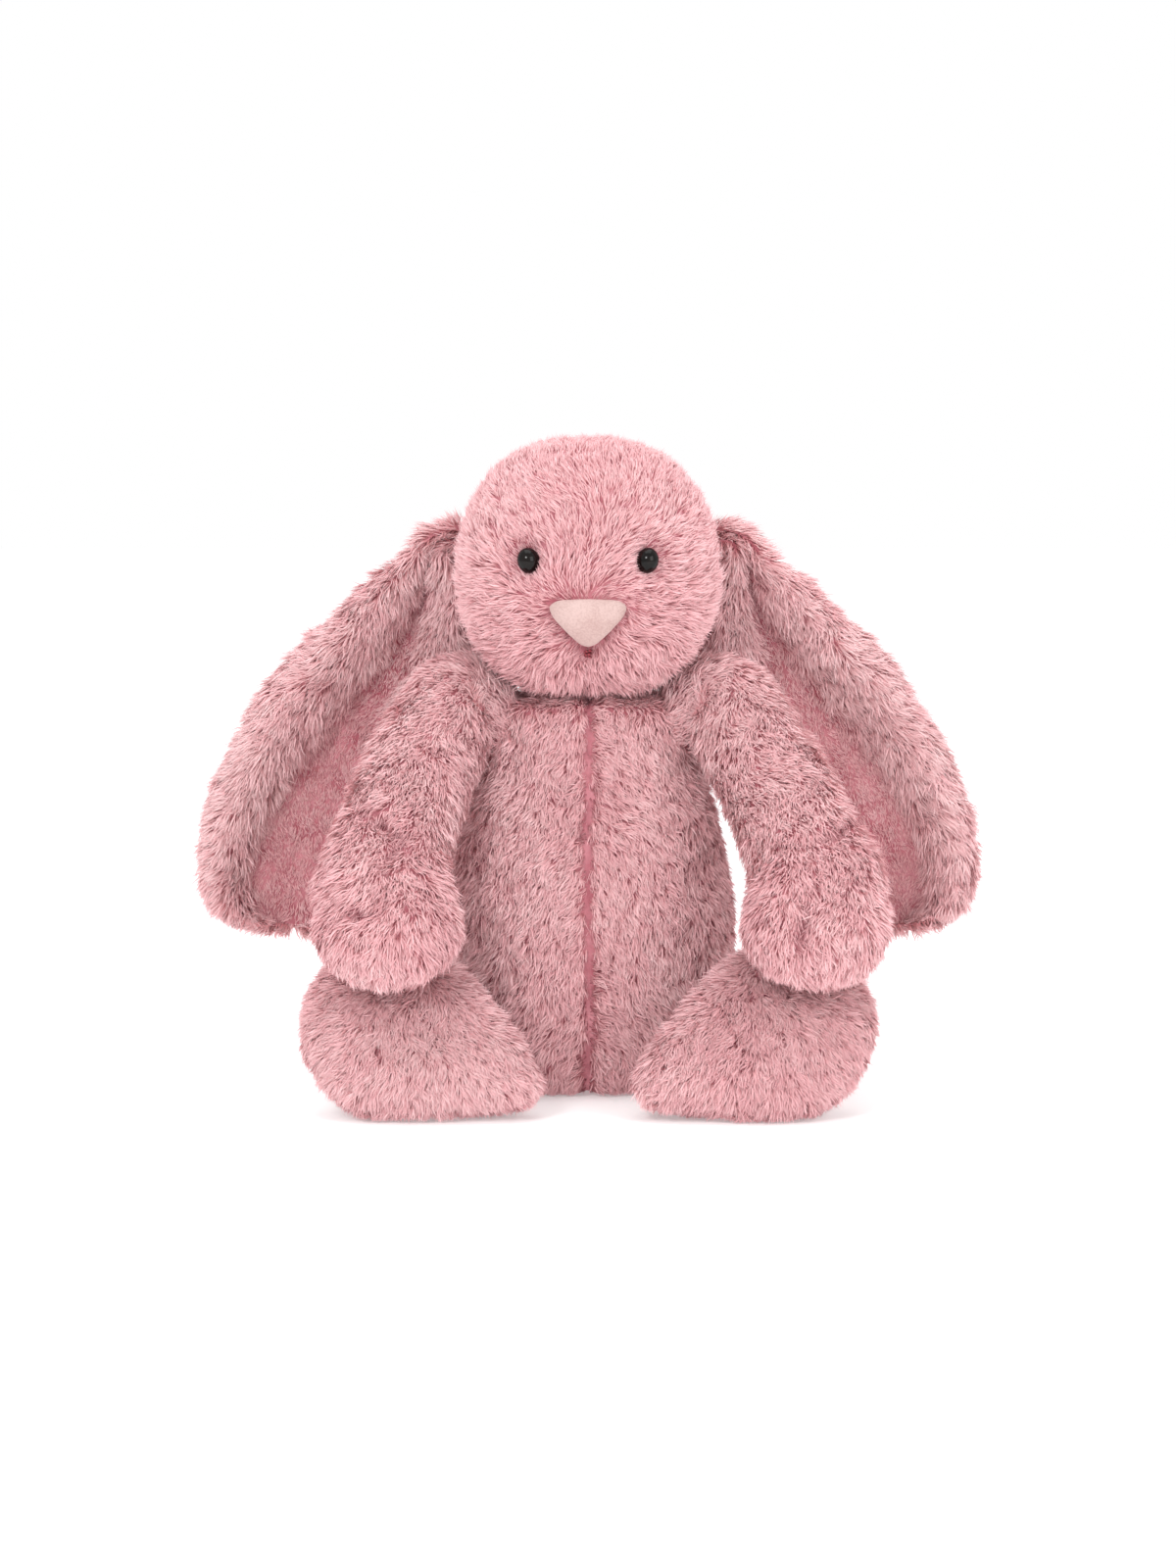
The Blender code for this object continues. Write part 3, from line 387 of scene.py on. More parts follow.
@dataclass(frozen=True)
class FibreFill(Finish):
    """Siliconised polyester fibrefill, white: matt, wispy and slightly lumpy."""
    light: str = "#f1efe9"
    dark: str = "#d3cfc6"

    def wire(self, tree: bpy.types.NodeTree, shader: bpy.types.Node) -> None:
        """Stretched wisps 6 mm long in shade and height."""
        place = add_node(tree, "TexCoord").outputs["Object"]
        drawn = add_node(tree, "Mapping", {0: place, "Scale": (1.0, 1.0, 3.0)})
        wisps = add_node(tree, "TexNoise", {"Vector": drawn.outputs[0], "Scale": 160.0,
                                            "Detail": 6.0, "Distortion": 1.2})
        colour = add_node(tree, "ValToRGB", {0: wisps.outputs[0]},
                          stops=((0.35, self.dark), (0.65, self.light)))
        bump = add_node(tree, "Bump", {"Height": wisps.outputs[0], "Strength": 0.8,
                                       "Distance": 0.002})
        set_inputs(tree, shader, {"Base Color": colour.outputs[0], "Normal": bump.outputs[0],
                                  "Roughness": 1.0})


@dataclass(frozen=True)
class BeanPellets(Finish):
    """Bag of polyethylene bean pellets: waxy beads 3 mm across under thin white gauze."""
    light: str = "#eceae6"
    dark: str = "#a9a7a2"

    def wire(self, tree: bpy.types.NodeTree, shader: bpy.types.Node) -> None:
        """Rounded cells 3 mm apart, with painted shade in the gaps between beads."""
        place = add_node(tree, "TexCoord").outputs["Object"]
        beads = add_node(tree, "TexVoronoi", {"Vector": place, "Scale": 330.0})
        # Painted shade: darker towards the gaps between beads.
        colour = add_node(tree, "ValToRGB", {0: beads.outputs["Distance"]},
                          stops=((0.35, self.light), (0.75, self.dark)))
        bump = add_node(tree, "Bump", {"Height": beads.outputs["Distance"], "Strength": 1.0,
                                       "Distance": 0.0012}, invert=True)
        set_inputs(tree, shader, {"Base Color": colour.outputs[0], "Normal": bump.outputs[0],
                                  "Roughness": 0.45})


@dataclass(frozen=True)
class MouldedNylon(Finish):
    """Moulded nylon washer, milky white: satin gloss with a faint moulding grain."""
    light: str = "#e9e9e6"
    dark: str = "#d5d5d2"

    def wire(self, tree: bpy.types.NodeTree, shader: bpy.types.Node) -> None:
        """Moulding grain 0.5 mm across in roughness and shade."""
        place = add_node(tree, "TexCoord").outputs["Object"]
        grain = add_node(tree, "TexNoise", {"Vector": place, "Scale": 2000.0, "Detail": 2.0})
        colour = add_node(tree, "ValToRGB", {0: grain.outputs[0]},
                          stops=((0.3, self.dark), (0.7, self.light)))
        rough = add_node(tree, "MapRange", {0: grain.outputs[0], 3: 0.35, 4: 0.55})
        set_inputs(tree, shader, {"Base Color": colour.outputs[0], "Roughness": rough.outputs[0]})


@dataclass(frozen=True)
class StudioPaper(Finish):
    """Matt white background paper under the toy."""

    def wire(self, tree: bpy.types.NodeTree, shader: bpy.types.Node) -> None:
        """Plain white, without gloss."""
        set_inputs(tree, shader, {"Base Color": (0.93, 0.93, 0.93, 1.0),
                                  "Emission Color": (1.0, 1.0, 1.0, 1.0),
                                  "Emission Strength": 0.28, "Roughness": 1.0,
                                  "Specular IOR Level": 0.0})


PILE = PlushPile("Rose plush pile")
BACKING = KnitBacking("Rose knit backing")
VELOUR = NoseVelour("Cream pink velour")
EYE = MouldedEye("Black moulded acrylic")
THREAD = TwistedThread("Dark red embroidery thread")
SATIN = SatinRibbon("White satin ribbon")
FILLING = FibreFill("White polyester fibrefill")
PELLETS = BeanPellets("Bean pellets in gauze")
NYLON = MouldedNylon("White moulded nylon")
PAPER = StudioPaper("White background paper")


# ---------------------------------------------------------------- meshes

def make_mesh(name: str, points: Array, corners: Array, sizes: Array, finish: Finish,
              uv: Optional[Array] = None) -> bpy.types.Object:
    """Put arrays of points and faces into a mesh object at the origin.

    Args:
        name: Name of the piece.
        points: Places in millimetres, one row each.
        corners: Point numbers of all faces, one after another.
        sizes: Number of corners of each face.
        finish: Material of the whole piece.
        uv: Map place of each corner, if the piece has a map.

    Returns:
        The linked object.
    """
    mesh = bpy.data.meshes.new(name)
    mesh.vertices.add(len(points))
    mesh.vertices.foreach_set("co", (points * MM).astype(np.float32).ravel())
    mesh.loops.add(len(corners))
    mesh.loops.foreach_set("vertex_index", corners.astype(np.int32))
    mesh.polygons.add(len(sizes))
    mesh.polygons.foreach_set("loop_start", (np.cumsum(sizes) - sizes).astype(np.int32))
    mesh.polygons.foreach_set("use_smooth", np.ones(len(sizes), bool))
    mesh.update(calc_edges=True)
    if uv is not None:
        layer = mesh.uv_layers.new(name="OFBake")
        layer.data.foreach_set("uv", uv.astype(np.float32).ravel())
    mesh.materials.append(finish.material())
    made = bpy.data.objects.new(name, mesh)
    bpy.context.scene.collection.objects.link(made)
    return made


@dataclass
class Scalp:
    """Closed surface sampled on a grid: what a backing is sewn as and a pile grows from.

    Rows run from one pole to the other and columns run once round, with the first column
    repeated at the end.
    """
    points: Array
    u: Array
    v: Array
    normals: Array = field(init=False)

    def __post_init__(self) -> None:
        """Work out outward normals as the crossed slopes of the grid."""
        down, round_ = np.gradient(self.points, axis=0), np.gradient(self.points, axis=1)
        seam = (self.points[:, 1] - self.points[:, -2]) / 2
        round_[:, 0] = round_[:, -1] = seam
        faces = np.cross(round_, down)
        normals = unit(faces)
        middle = self.points[1:-1, :-1].reshape(-1, 3).mean(axis=0)
        if (faces * (self.points - middle)).sum() < 0:
            normals = -normals
        normals[0] = unit(normals[1].mean(axis=0))
        normals[-1] = unit(normals[-2].mean(axis=0))
        self.normals = normals

    @classmethod
    def of(cls, surface: Surface, rows: int, columns: int) -> "Scalp":
        """Sample a surface of u and v, both from 0 to 1."""
        u, v = np.meshgrid(np.linspace(0, 1, rows + 1), np.linspace(0, 1, columns + 1),
                           indexing="ij")
        return cls(surface(u, v), u, v)

    def drawn_in(self, depth: Array) -> "Scalp":
        """The same surface moved inwards along its normals, kept clear of the floor."""
        points = self.points - depth[..., None] * self.normals
        points[..., 2] = np.maximum(points[..., 2], BACKING_CLEARANCE)
        return Scalp(points, self.u, self.v)

    def backing(self, name: str, finish: Finish) -> bpy.types.Object:
        """Close the grid into a mesh with one point at each pole.

        Args:
            name: Name of the piece.
            finish: Material of the piece.

        Returns:
            The mesh object, facing outwards.
        """
        rows, columns = self.points.shape[0] - 1, self.points.shape[1] - 1
        body = self.points[1:-1, :-1].reshape(-1, 3)
        points = np.vstack([self.points[0, 0], body, self.points[-1, 0]])
        number = 1 + np.arange((rows - 1) * columns).reshape(rows - 1, columns)
        after = np.roll(number, -1, axis=1)
        quads = np.stack([number[:-1], number[1:], after[1:], after[:-1]], -1).reshape(-1, 4)
        first = np.stack([np.zeros(columns, int), number[0], after[0]], -1)
        last = np.stack([np.full(columns, len(points) - 1), after[-1], number[-1]], -1)
        corner = points[quads]
        volume = (np.cross(corner[:, 1] - corner[:, 0], corner[:, 2] - corner[:, 0])
                  * corner[:, 0]).sum()
        if volume < 0:
            quads, first, last = quads[:, ::-1], first[:, ::-1], last[:, ::-1]
        corners = np.concatenate([quads.ravel(), first.ravel(), last.ravel()])
        sizes = np.concatenate([np.full(len(quads), 4), np.full(2 * columns, 3)])
        return make_mesh(name, points, corners, sizes, finish)

    def scatter(self, count: int, density: Array, seed: int) -> tuple[Array, Array, Array]:
        """Choose fibre roots over the surface, as many on each face as its area asks for.

        Args:
            count: Number of roots.
            density: Relative density at each grid point.
            seed: Seed of the choice.

        Returns:
            Places, normals, and pairs of u and v.
        """
        rng = np.random.default_rng(seed)
        number = np.arange(self.u.size).reshape(self.u.shape)
        quad = np.stack([number[:-1, :-1], number[1:, :-1], number[1:, 1:], number[:-1, 1:]],
                        -1).reshape(-1, 4)
        triangles = np.vstack([quad[:, (0, 1, 2)], quad[:, (0, 2, 3)]])
        flat = self.points.reshape(-1, 3)
        a, b, c = (flat[triangles[:, i]] for i in range(3))
        weight = np.linalg.norm(np.cross(b - a, c - a), axis=-1)
        weight *= np.clip(density, 0, None).ravel()[triangles].mean(axis=1)
        total = np.cumsum(weight)
        chosen = triangles[np.searchsorted(total, rng.random(count) * total[-1])]
        share = rng.dirichlet((1.0, 1.0, 1.0), count)

        def blend(values: Array) -> Array:
            """Values at the roots from those at the corners of their faces."""
            return (values[chosen] * share[..., None]).sum(axis=1)
        place = blend(flat)
        normal = unit(blend(self.normals.reshape(-1, 3)))
        return place, normal, blend(np.stack([self.u.ravel(), self.v.ravel()], -1))


@dataclass(frozen=True)
class PileCut:
    """Measurements of a plush pile: fibres in millimetres, their leans in degrees."""
    length: float = 6.8
    width: float = 0.52
    root_lean: float = 46.0
    tip_lean: float = 73.0
    tuft: float = 3.8
    gather: float = 0.36
    stray: float = 0.28
    tone_spread: float = 0.18

    def grow(self, name: str, place: Array, normal: Array, comb: Array, trim: Array,
             tone: Array, seed: int) -> bpy.types.Object:
        """Grow tapered fibres that lean the way they are combed and draw into tufts.

        A fibre bends once: it leaves the backing at the root's lean from the normal and
        ends at the tip's lean.  All fibres of a tuft share a turn, a length and a tone,
        and their tips move part of the way to the tuft's middle.

        Args:
            name: Name of the piece.
            place: Fibre roots.
            normal: Outward normals at the roots.
            comb: Directions that the pile is brushed in.
            trim: Share of the full length that each fibre has.
            tone: Tone of each fibre, 0 for the deepest to 1 for the palest.
            seed: Seed of the pile.

        Returns:
            The pile's mesh object.
        """
        rng = np.random.default_rng(seed)
        count = len(place)
        centre, key = nearest_tuft(place, self.tuft, seed)
        own = [hashed(key, seed + 11 + i) for i in range(4)]
        flow = along_surface(comb, normal)
        turn = (0.9 * (own[0] - 0.5) + 0.7 * ripple(place, 13.0, seed + 5)
                + self.stray * rng.standard_normal(count))[:, None]
        flow = np.cos(turn) * flow + np.sin(turn) * np.cross(normal, flow)
        change = 0.35 * (own[1] - 0.5) + 0.16 * rng.standard_normal(count)
        length = self.length * trim * (0.78 + 0.34 * own[2]) * rng.uniform(0.75, 1.15, count)
        pull = centre - place
        pull -= (pull * normal).sum(-1, keepdims=True) * normal
        pull *= (self.gather * np.clip(trim, 0.2, 1))[:, None]
        base = place - 0.5 * normal
        middle, tip = base, base
        heading = []
        for share, lean, drawn in ((0.45, self.root_lean, 0.35), (0.55, self.tip_lean, 0.65)):
            angle = (np.radians(lean) + change)[:, None]
            heading.append(np.cos(angle) * normal + np.sin(angle) * flow)
            middle, tip = tip, tip + (share * length)[:, None] * heading[-1] + drawn * pull
        twist = rng.uniform(-0.9, 0.9, count)[:, None]
        across = unit(np.cross(heading[1], normal))
        across = np.cos(twist) * across + np.sin(twist) * np.cross(across, heading[1])
        half = (self.width / 2 * rng.uniform(0.7, 1.2, count) * np.clip(trim, 0.6, 1))[:, None]
        points = np.stack([base - 0.8 * half * across, base + 0.8 * half * across,
                           middle + half * across, middle - half * across, tip], axis=1)
        points[..., 2] = np.maximum(points[..., 2], FIBRE_CLEARANCE)
        first = np.arange(count)[:, None] * 5
        corners = (first + np.array([[0, 1, 2, 3, 3, 2, 4]])).ravel()
        tone = np.clip(tone + self.tone_spread * (own[3] - 0.5)
                       + 0.07 * rng.standard_normal(count), 0.01, 0.98)
        uv = np.empty((count, 7, 2))
        uv[..., 0] = tone[:, None] + np.array([0, 0.01, 0.01, 0, 0, 0.01, 0.005])
        uv[..., 1] = np.array([0.02, 0.02, 0.5, 0.5, 0.5, 0.5, 0.98])
        return make_mesh(name, points.reshape(-1, 3), corners, np.tile([4, 3], count), PILE,
                         uv.reshape(-1, 2))


@dataclass
class Plush:
    """A sewn and filled sub-assembly: its backing and its pile.

    Sub-classes give the outer surface, the comb of the pile and where it is short, dark
    or missing.
    """
    name: str = ""
    nodes: tuple[str, ...] = ()
    slot: str = "plush"
    pile_depth: float = 4.2
    fibres: int = 30000
    rows: int = 80
    columns: int = 96
    fill: float = 0.8
    seed: int = 1
    cut: PileCut = field(default_factory=PileCut)

    def surface(self, u: Array, v: Array) -> Array:
        """Outer surface of the pressed pile, u and v from 0 to 1."""
        raise NotImplementedError

    def dimple(self, points: Array, u: Array, v: Array) -> Array:
        """Extra depth of the backing at seams and folds."""
        return np.zeros(points.shape[:-1])

    def comb(self, place: Array, normal: Array, uv: Array) -> Array:
        """Direction that the pile is brushed in."""
        raise NotImplementedError

    def trim(self, place: Array, uv: Array) -> Array:
        """Share of the pile's full length, 0 where there is none."""
        return np.ones(len(place))

    def tone(self, place: Array, uv: Array) -> Array:
        """Tone of the pile before its own variation."""
        return np.full(len(place), 0.5)

    def density(self, points: Array, u: Array, v: Array) -> Array:
        """Relative number of fibres at each grid point."""
        return np.ones(u.shape)

    def attach(self, piece: bpy.types.Object) -> None:
        """Tie a piece to the body or joint that it moves with."""
        raise NotImplementedError

    def grow_pile(self, ground: Scalp, name: str, seed: int) -> bpy.types.Object:
        """Scatter fibre roots over the ground and grow the pile from them.

        Args:
            ground: Backing's surface.
            name: Name of the pile.
            seed: Seed of the roots' places.

        Returns:
            The pile's mesh object.
        """
        place, normal, uv = ground.scatter(
            self.fibres, self.density(ground.points, ground.u, ground.v), seed)
        trim = self.trim(place, uv)
        kept = trim > SHORTEST_TRIM
        place, normal, uv, trim = place[kept], normal[kept], uv[kept], trim[kept]
        tone = self.tone(place, uv) + TONE_CLOUD * ripple(place, TONE_CLOUD_SIZE, self.seed + 3)
        LOG.info("%s: %d fibres", name, len(place))
        return self.cut.grow(name, place, normal, self.comb(place, normal, uv), trim, tone,
                             self.seed)

    def build(self) -> None:
        """Make the backing and its pile, and hand them to the frame."""
        outer = Scalp.of(self.surface, self.rows, self.columns)
        depth = self.pile_depth + self.dimple(outer.points, outer.u, outer.v)
        ground = outer.drawn_in(depth)
        backing = ground.backing(self.name + "_backing", BACKING)
        pile = self.grow_pile(ground, self.name + "_pile", self.seed)
        for piece in (backing, pile):
            self.attach(piece)
        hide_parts(*self.nodes)
        LOG.info("%s: backing of %d faces", self.name, len(backing.data.polygons))


# ---------------------------------------------------------------- sub-assemblies

@dataclass
class Head(Plush):
    """Round head with a soft muzzle, poles of its surface at the two ears."""
    name: str = "head"
    nodes: tuple[str, ...] = ("head_left_panel", "head_right_panel", "head_gusset")
    fibres: int = 66000
    rows: int = 110
    columns: int = 150
    seed: int = 101
    pile_depth: float = 3.4
    cut: PileCut = PileCut(length=7.0, root_lean=52.0, tip_lean=77.0, tuft=3.6, gather=0.28,
                           stray=0.22, tone_spread=0.10)
    centre: tuple[float, float, float] = (0.0, -6.0, 196.5)
    half_width: float = 50.0
    half_height: float = 50.5
    front: float = 47.0
    back: float = 44.0
    fullness: float = 2.25
    muzzle: float = 7.0
    muzzle_spread: float = 26.0
    muzzle_drop: float = 20.0
    eye_aside: float = 22.6
    eye_rise: float = 4.2

    def shape(self, direction: Array) -> Array:
        """Head surface in a direction: a boxy ellipsoid with a bell-shaped muzzle.

        Args:
            direction: Directions from the head's centre.

        Returns:
            Places on the surface.
        """
        size = (np.abs(direction)**self.fullness).sum(-1)**(1 / self.fullness)
        ball = direction / size[..., None]
        depth = np.where(ball[..., 1] < 0, self.front, self.back)
        x, z = ball[..., 0] * self.half_width, ball[..., 2] * self.half_height
        bulge = np.exp(-(x / self.muzzle_spread)**2 - ((z + self.muzzle_drop) / self.muzzle_drop)**2)
        y = ball[..., 1] * depth - self.muzzle * bulge * np.clip(-ball[..., 1], 0, 1)
        return np.stack([x, y, z], -1) + self.centre

    def surface(self, u: Array, v: Array) -> Array:
        """Head by the angle from ear to ear and the angle round from the face."""
        across, around = np.sin(np.pi * u), 2 * np.pi * v
        return self.shape(np.stack([np.cos(np.pi * u), -across * np.cos(around),
                                    across * np.sin(around)], -1))

    def face_point(self, x: Array, z: Array) -> Array:
        """Place of the face in front of a point across and above the head's centre."""
        rest = (1 - np.abs(x / self.half_width)**self.fullness
                - np.abs(z / self.half_height)**self.fullness)
        return self.shape(np.stack([x / self.half_width,
                                    -np.clip(rest, 0, 1)**(1 / self.fullness),
                                    z / self.half_height], -1))

    def face_normal(self, x: float, z: float) -> Array:
        """Outward normal of the face, from two short steps along it."""
        here, right, above = self.face_point(np.array([x, x + 0.5, x]), np.array([z, z, z + 0.5]))
        normal = unit(np.cross(right - here, above - here))
        return normal if normal[1] < 0 else -normal

    def eye_centre(self, side: Side) -> Array:
        """Where an eye sits on the face's surface."""
        return self.face_point(np.array(side.value * self.eye_aside), np.array(self.eye_rise))

    def eye_distance(self, place: Array) -> Array:
        """Distance of each place from the nearer eye."""
        return np.minimum(*(np.linalg.norm(place - self.eye_centre(side), axis=-1)
                            for side in Side))

    def nose_distance(self, place: Array) -> Array:
        """Distance outside the nose's outline, less than 0 under the nose."""
        local = place - self.centre
        x, z = np.abs(local[..., 0]), local[..., 2]
        slanted = (x - 13.0) * 0.80 - (z + 12.5) * 0.60
        above = z + 10.2
        inside = np.maximum(np.maximum(slanted, above), -(z + 27.2))
        return np.where(local[..., 1] < 0, inside, 40.0)

    def dimple(self, points: Array, u: Array, v: Array) -> Array:
        """Eye sockets, deepest above and outside each eye, and the crease under the nose."""
        local = points - self.centre
        depth = np.zeros(points.shape[:-1])
        for side in Side:
            socket = self.eye_centre(side) + (side.value * 1.5, 0, 1.5)
            depth += 2.2 * np.exp(-((points - socket)**2).sum(-1) / 7.0**2)
        under = np.clip(-(local[..., 2] + 24), 0, 1) * (local[..., 1] < 0)
        depth += 0.7 * under * np.exp(-(local[..., 0] / 2.2)**2)
        return depth

    def comb(self, place: Array, normal: Array, uv: Array) -> Array:
        """Away from the nose all over the head, and down at the sides and back."""
        nose = np.array(self.centre) + (0, -50.0, -16.0)
        away = unit(place - nose)
        back = np.clip((place[:, 1:2] - self.centre[1]) / 30, 0, 1)
        return away + back * np.array([0, 0.0, -1.2])

    def trim(self, place: Array, uv: Array) -> Array:
        """Short above the brow, shorter by the nose and eyes, bare under both and the knot."""
        nose, eye = self.nose_distance(place), self.eye_distance(place)
        height = place[:, 2] - self.centre[2]
        share = np.clip(0.55 + 0.045 * nose, 0.55, 1) * np.clip(0.45 + (eye - 4.0) / 12, 0.45, 1)
        share *= 1.15 - 0.4 / (1 + np.exp((6 - height) / 6))
        knot = np.linalg.norm(place - self.face_point(np.array(0.0), np.array(-30.2)), axis=-1)
        return share * (nose > -0.6) * (eye > 3.4) * (knot > 1.4)

    def tone(self, place: Array, uv: Array) -> Array:
        """Paler towards the crown as painted light from above, with painted shade in the eye sockets,
        along the chin's crease and under the nose's lower rim.
        """
        local = place - self.centre
        # Painted shade: darker in the eye sockets, along the chin's crease and under the nose's lower
        # rim.
        eye = np.zeros(len(place))
        for side in Side:
            socket = self.eye_centre(side) + (side.value * 3.0, 0, 2.5)
            eye += np.exp(-((place - socket)**2).sum(-1) / 5.5**2)
        crease = np.exp(-(local[:, 0] / 1.6)**2) * (local[:, 2] < -24) * (local[:, 1] < 0)
        nose_rim_shade = np.exp(-(self.nose_distance(place) / 1.6)**2) * (local[:, 2] < -13)
        # The height term is painted light, paler towards the crown.
        return 0.58 + 0.08 * local[:, 2] / 50 - 0.48 * eye - 0.10 * crease - 0.25 * nose_rim_shade

    def attach(self, piece: bpy.types.Object) -> None:
        """The head carries its own cover."""
        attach(piece, "head")


@dataclass
class Torso(Plush):
    """Pear-shaped torso of four panels, flat where it sits."""
    name: str = "torso"
    nodes: tuple[str, ...] = ("torso_front_left", "torso_front_right", "torso_back_left",
                              "torso_back_right", "seat_panel")
    fibres: int = 62000
    rows: int = 120
    columns: int = 160
    seed: int = 201
    pile_depth: float = 1.8
    cut: PileCut = PileCut(length=6.4, tuft=3.4)
    height: float = 148.0
    half_width: float = 55.0
    front: float = 40.5
    back: float = 37.0
    neck: float = 27.0
    facing: int = 0
    keys: tuple[float, ...] = (0.0, 0.05, 0.13, 0.2, 0.33, 0.48, 0.64, 0.78, 0.89, 0.96, 1.0)
    profile: tuple[tuple[float, float, float], ...] = (
        (0.0, 0.54, 0.50), (0.004, 0.64, 0.60), (0.05, 0.83, 0.78), (0.13, 0.93, 0.91),
        (0.27, 0.99, 1.0), (0.44, 1.0, 1.0), (0.64, 0.92, 0.93), (0.80, 0.80, 0.81),
        (0.92, 0.71, 0.76), (0.985, 0.65, 0.72))

    def surface(self, u: Array, v: Array) -> Array:
        """Torso from the middle of its seat to the middle of a low dome inside the head.

        Every height is an ellipse whose half-width and depths follow the profile.

        Args:
            u: 0 at the seat's middle to 1 at the dome's middle.
            v: 0 to 1 once round, from the left side by way of the back.

        Returns:
            Places on the surface.
        """
        rows = [(z * self.height, w * self.half_width, d * self.front, d * self.back)
                for z, w, d in self.profile] + [(self.height, self.neck, self.neck, self.neck)]
        low, high = 0.10, 0.06
        row = smooth_curve(self.keys, rows, np.clip((u - low) / (1 - low - high), 0, 1))
        close = np.clip(np.minimum(u / low, (1 - u) / high), 0, 1)
        around = 2 * np.pi * v
        depth = np.where(np.sin(around) < 0, row[..., 2], row[..., 3])
        dome = 9.0 * np.clip(1 - (1 - u) / high, 0, 1)
        return np.stack([row[..., 1] * close * np.cos(around), depth * close * np.sin(around),
                         np.clip(row[..., 0], 0, None) + dome], -1)

    def seam_distance(self, place: Array) -> tuple[Array, Array]:
        """Distances from the front and back seams, and from the two side seams.

        Args:
            place: Places on the torso.

        Returns:
            The two distances, wandering a little with height.
        """
        wander = (0.9 * ripple(place * (0, 0, 1), 5.0, 7)
                  + 0.6 * ripple(place * (0, 0, 1), 1.7, 8))
        return np.abs(place[..., 0] + wander), np.abs(place[..., 1] + wander)

    def dimple(self, points: Array, u: Array, v: Array) -> Array:
        """Seams pulled in, over slight slack folds."""
        middle, flank = self.seam_distance(points)
        upper = np.clip(points[..., 2] / 12, 0, 1)
        return (upper * (1.4 * np.exp(-(middle / 1.4)**2) + 1.2 * np.exp(-(flank / 2.2)**2))
                + 0.7 * ripple(points, 22.0, 9))

    def comb(self, place: Array, normal: Array, uv: Array) -> Array:
        """Down the torso, and apart from each seam."""
        middle, flank = self.seam_distance(place)
        down = np.array([0.0, 0.0, -1.0]) + unit(place * (1, 1, 0)) * 0.35
        part = np.zeros_like(place)
        part[:, 0] = np.sign(place[:, 0]) * np.exp(-middle / 5.0)
        part[:, 1] = np.sign(place[:, 1]) * np.exp(-flank / 5.0) * (np.abs(place[:, 0]) > 20)
        return down + 1.4 * part

    def trim(self, place: Array, uv: Array) -> Array:
        """Clipped along the seams and under the seat."""
        middle, flank = self.seam_distance(place)
        side = np.where(np.abs(place[:, 0]) > 20, flank, 9.0)
        near = np.minimum(middle, side)
        share = np.clip(0.5 + near / 5, 0.5, 1) * (near > 0.3)
        return np.where(place[:, 2] < 3, 0.5, share)

    def tone(self, place: Array, uv: Array) -> Array:
        """Deep in the seams, and slightly deeper low down as painted shade."""
        middle, flank = self.seam_distance(place)
        side = np.where(np.abs(place[:, 0]) > 20, flank, 9.0)
        broken = 0.46 + 0.22 * ripple(place * (0, 0, 1), 6.0, 12)
        broken *= np.where(place[:, 1] < 0, 1.0, 0.6)
        # The height term is painted shade: slightly deeper towards the bottom.
        return (0.56 + 0.05 * place[:, 2] / 140 - broken * np.exp(-(middle / 1.5)**2)
                - 0.14 * np.exp(-(side / 2.2)**2))

    def density(self, points: Array, u: Array, v: Array) -> Array:
        """One half of the torso, thin on the seat and under the head."""
        half = points[..., 1] * self.facing >= -0.01
        return half * np.where(u < 0.085, 0.25, 1.0) * np.where(u > 0.96, 0.3, 1.0)

    def attach(self, piece: bpy.types.Object) -> None:
        """The torso is the root."""
        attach(piece, "torso")

    def build(self) -> None:
        """Make the cover, and its pile in a front and a back half."""
        outer = Scalp.of(self.surface, self.rows, self.columns)
        ground = outer.drawn_in(self.pile_depth + self.dimple(outer.points, outer.u, outer.v))
        backing = ground.backing("torso_backing", BACKING)
        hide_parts(*self.nodes)
        pieces = [backing]
        for word, self.facing in (("front", -1), ("back", 1)):
            pieces.append(self.grow_pile(ground, f"torso_{word}_pile", self.seed + self.facing))
        for piece in pieces:
            self.attach(piece)


def sweep(route: Array, up: Sequence[float], u: Array, v: Array, cap: float = 0.16) -> Array:
    """Carry an oval section along a smooth route and round off both ends.

    Args:
        route: Rows of x, y, z, depth radius and side radius.
        up: Direction that keeps the section from turning.
        u: 0 at the first end to 1 at the last.
        v: 0 to 1 once round, from the depth radius towards the side radius.
        cap: Share of u that each round end takes.

    Returns:
        Places on the tube.
    """
    route = np.asarray(route, float)
    keys = np.concatenate([[0.0], np.cumsum(np.linalg.norm(np.diff(route[:, :3], axis=0), axis=1))])
    fine = smooth_curve(keys / keys[-1], route, np.linspace(0, 1, 200))
    tangent = unit(np.gradient(fine[:, :3], axis=0))
    side = unit(np.cross(tangent, up))
    rows = np.concatenate([fine, tangent, np.cross(side, tangent), side], axis=1)
    t = np.clip((u - cap) / (1 - 2 * cap), 0, 1)
    at = np.stack([np.interp(t, np.linspace(0, 1, 200), column) for column in rows.T], -1)
    start, finish = (np.clip(s / cap, 0, 1) * np.pi / 2 for s in (u, 1 - u))
    ring, around = np.sin(start) * np.sin(finish), 2 * np.pi * v
    reach = (np.cos(finish) - np.cos(start)) * (at[..., 3] + at[..., 4]) / 2
    return (at[..., :3] + reach[..., None] * at[..., 5:8]
            + (at[..., 3] * ring * np.cos(around))[..., None] * at[..., 8:11]
            + (at[..., 4] * ring * np.sin(around))[..., None] * at[..., 11:14])


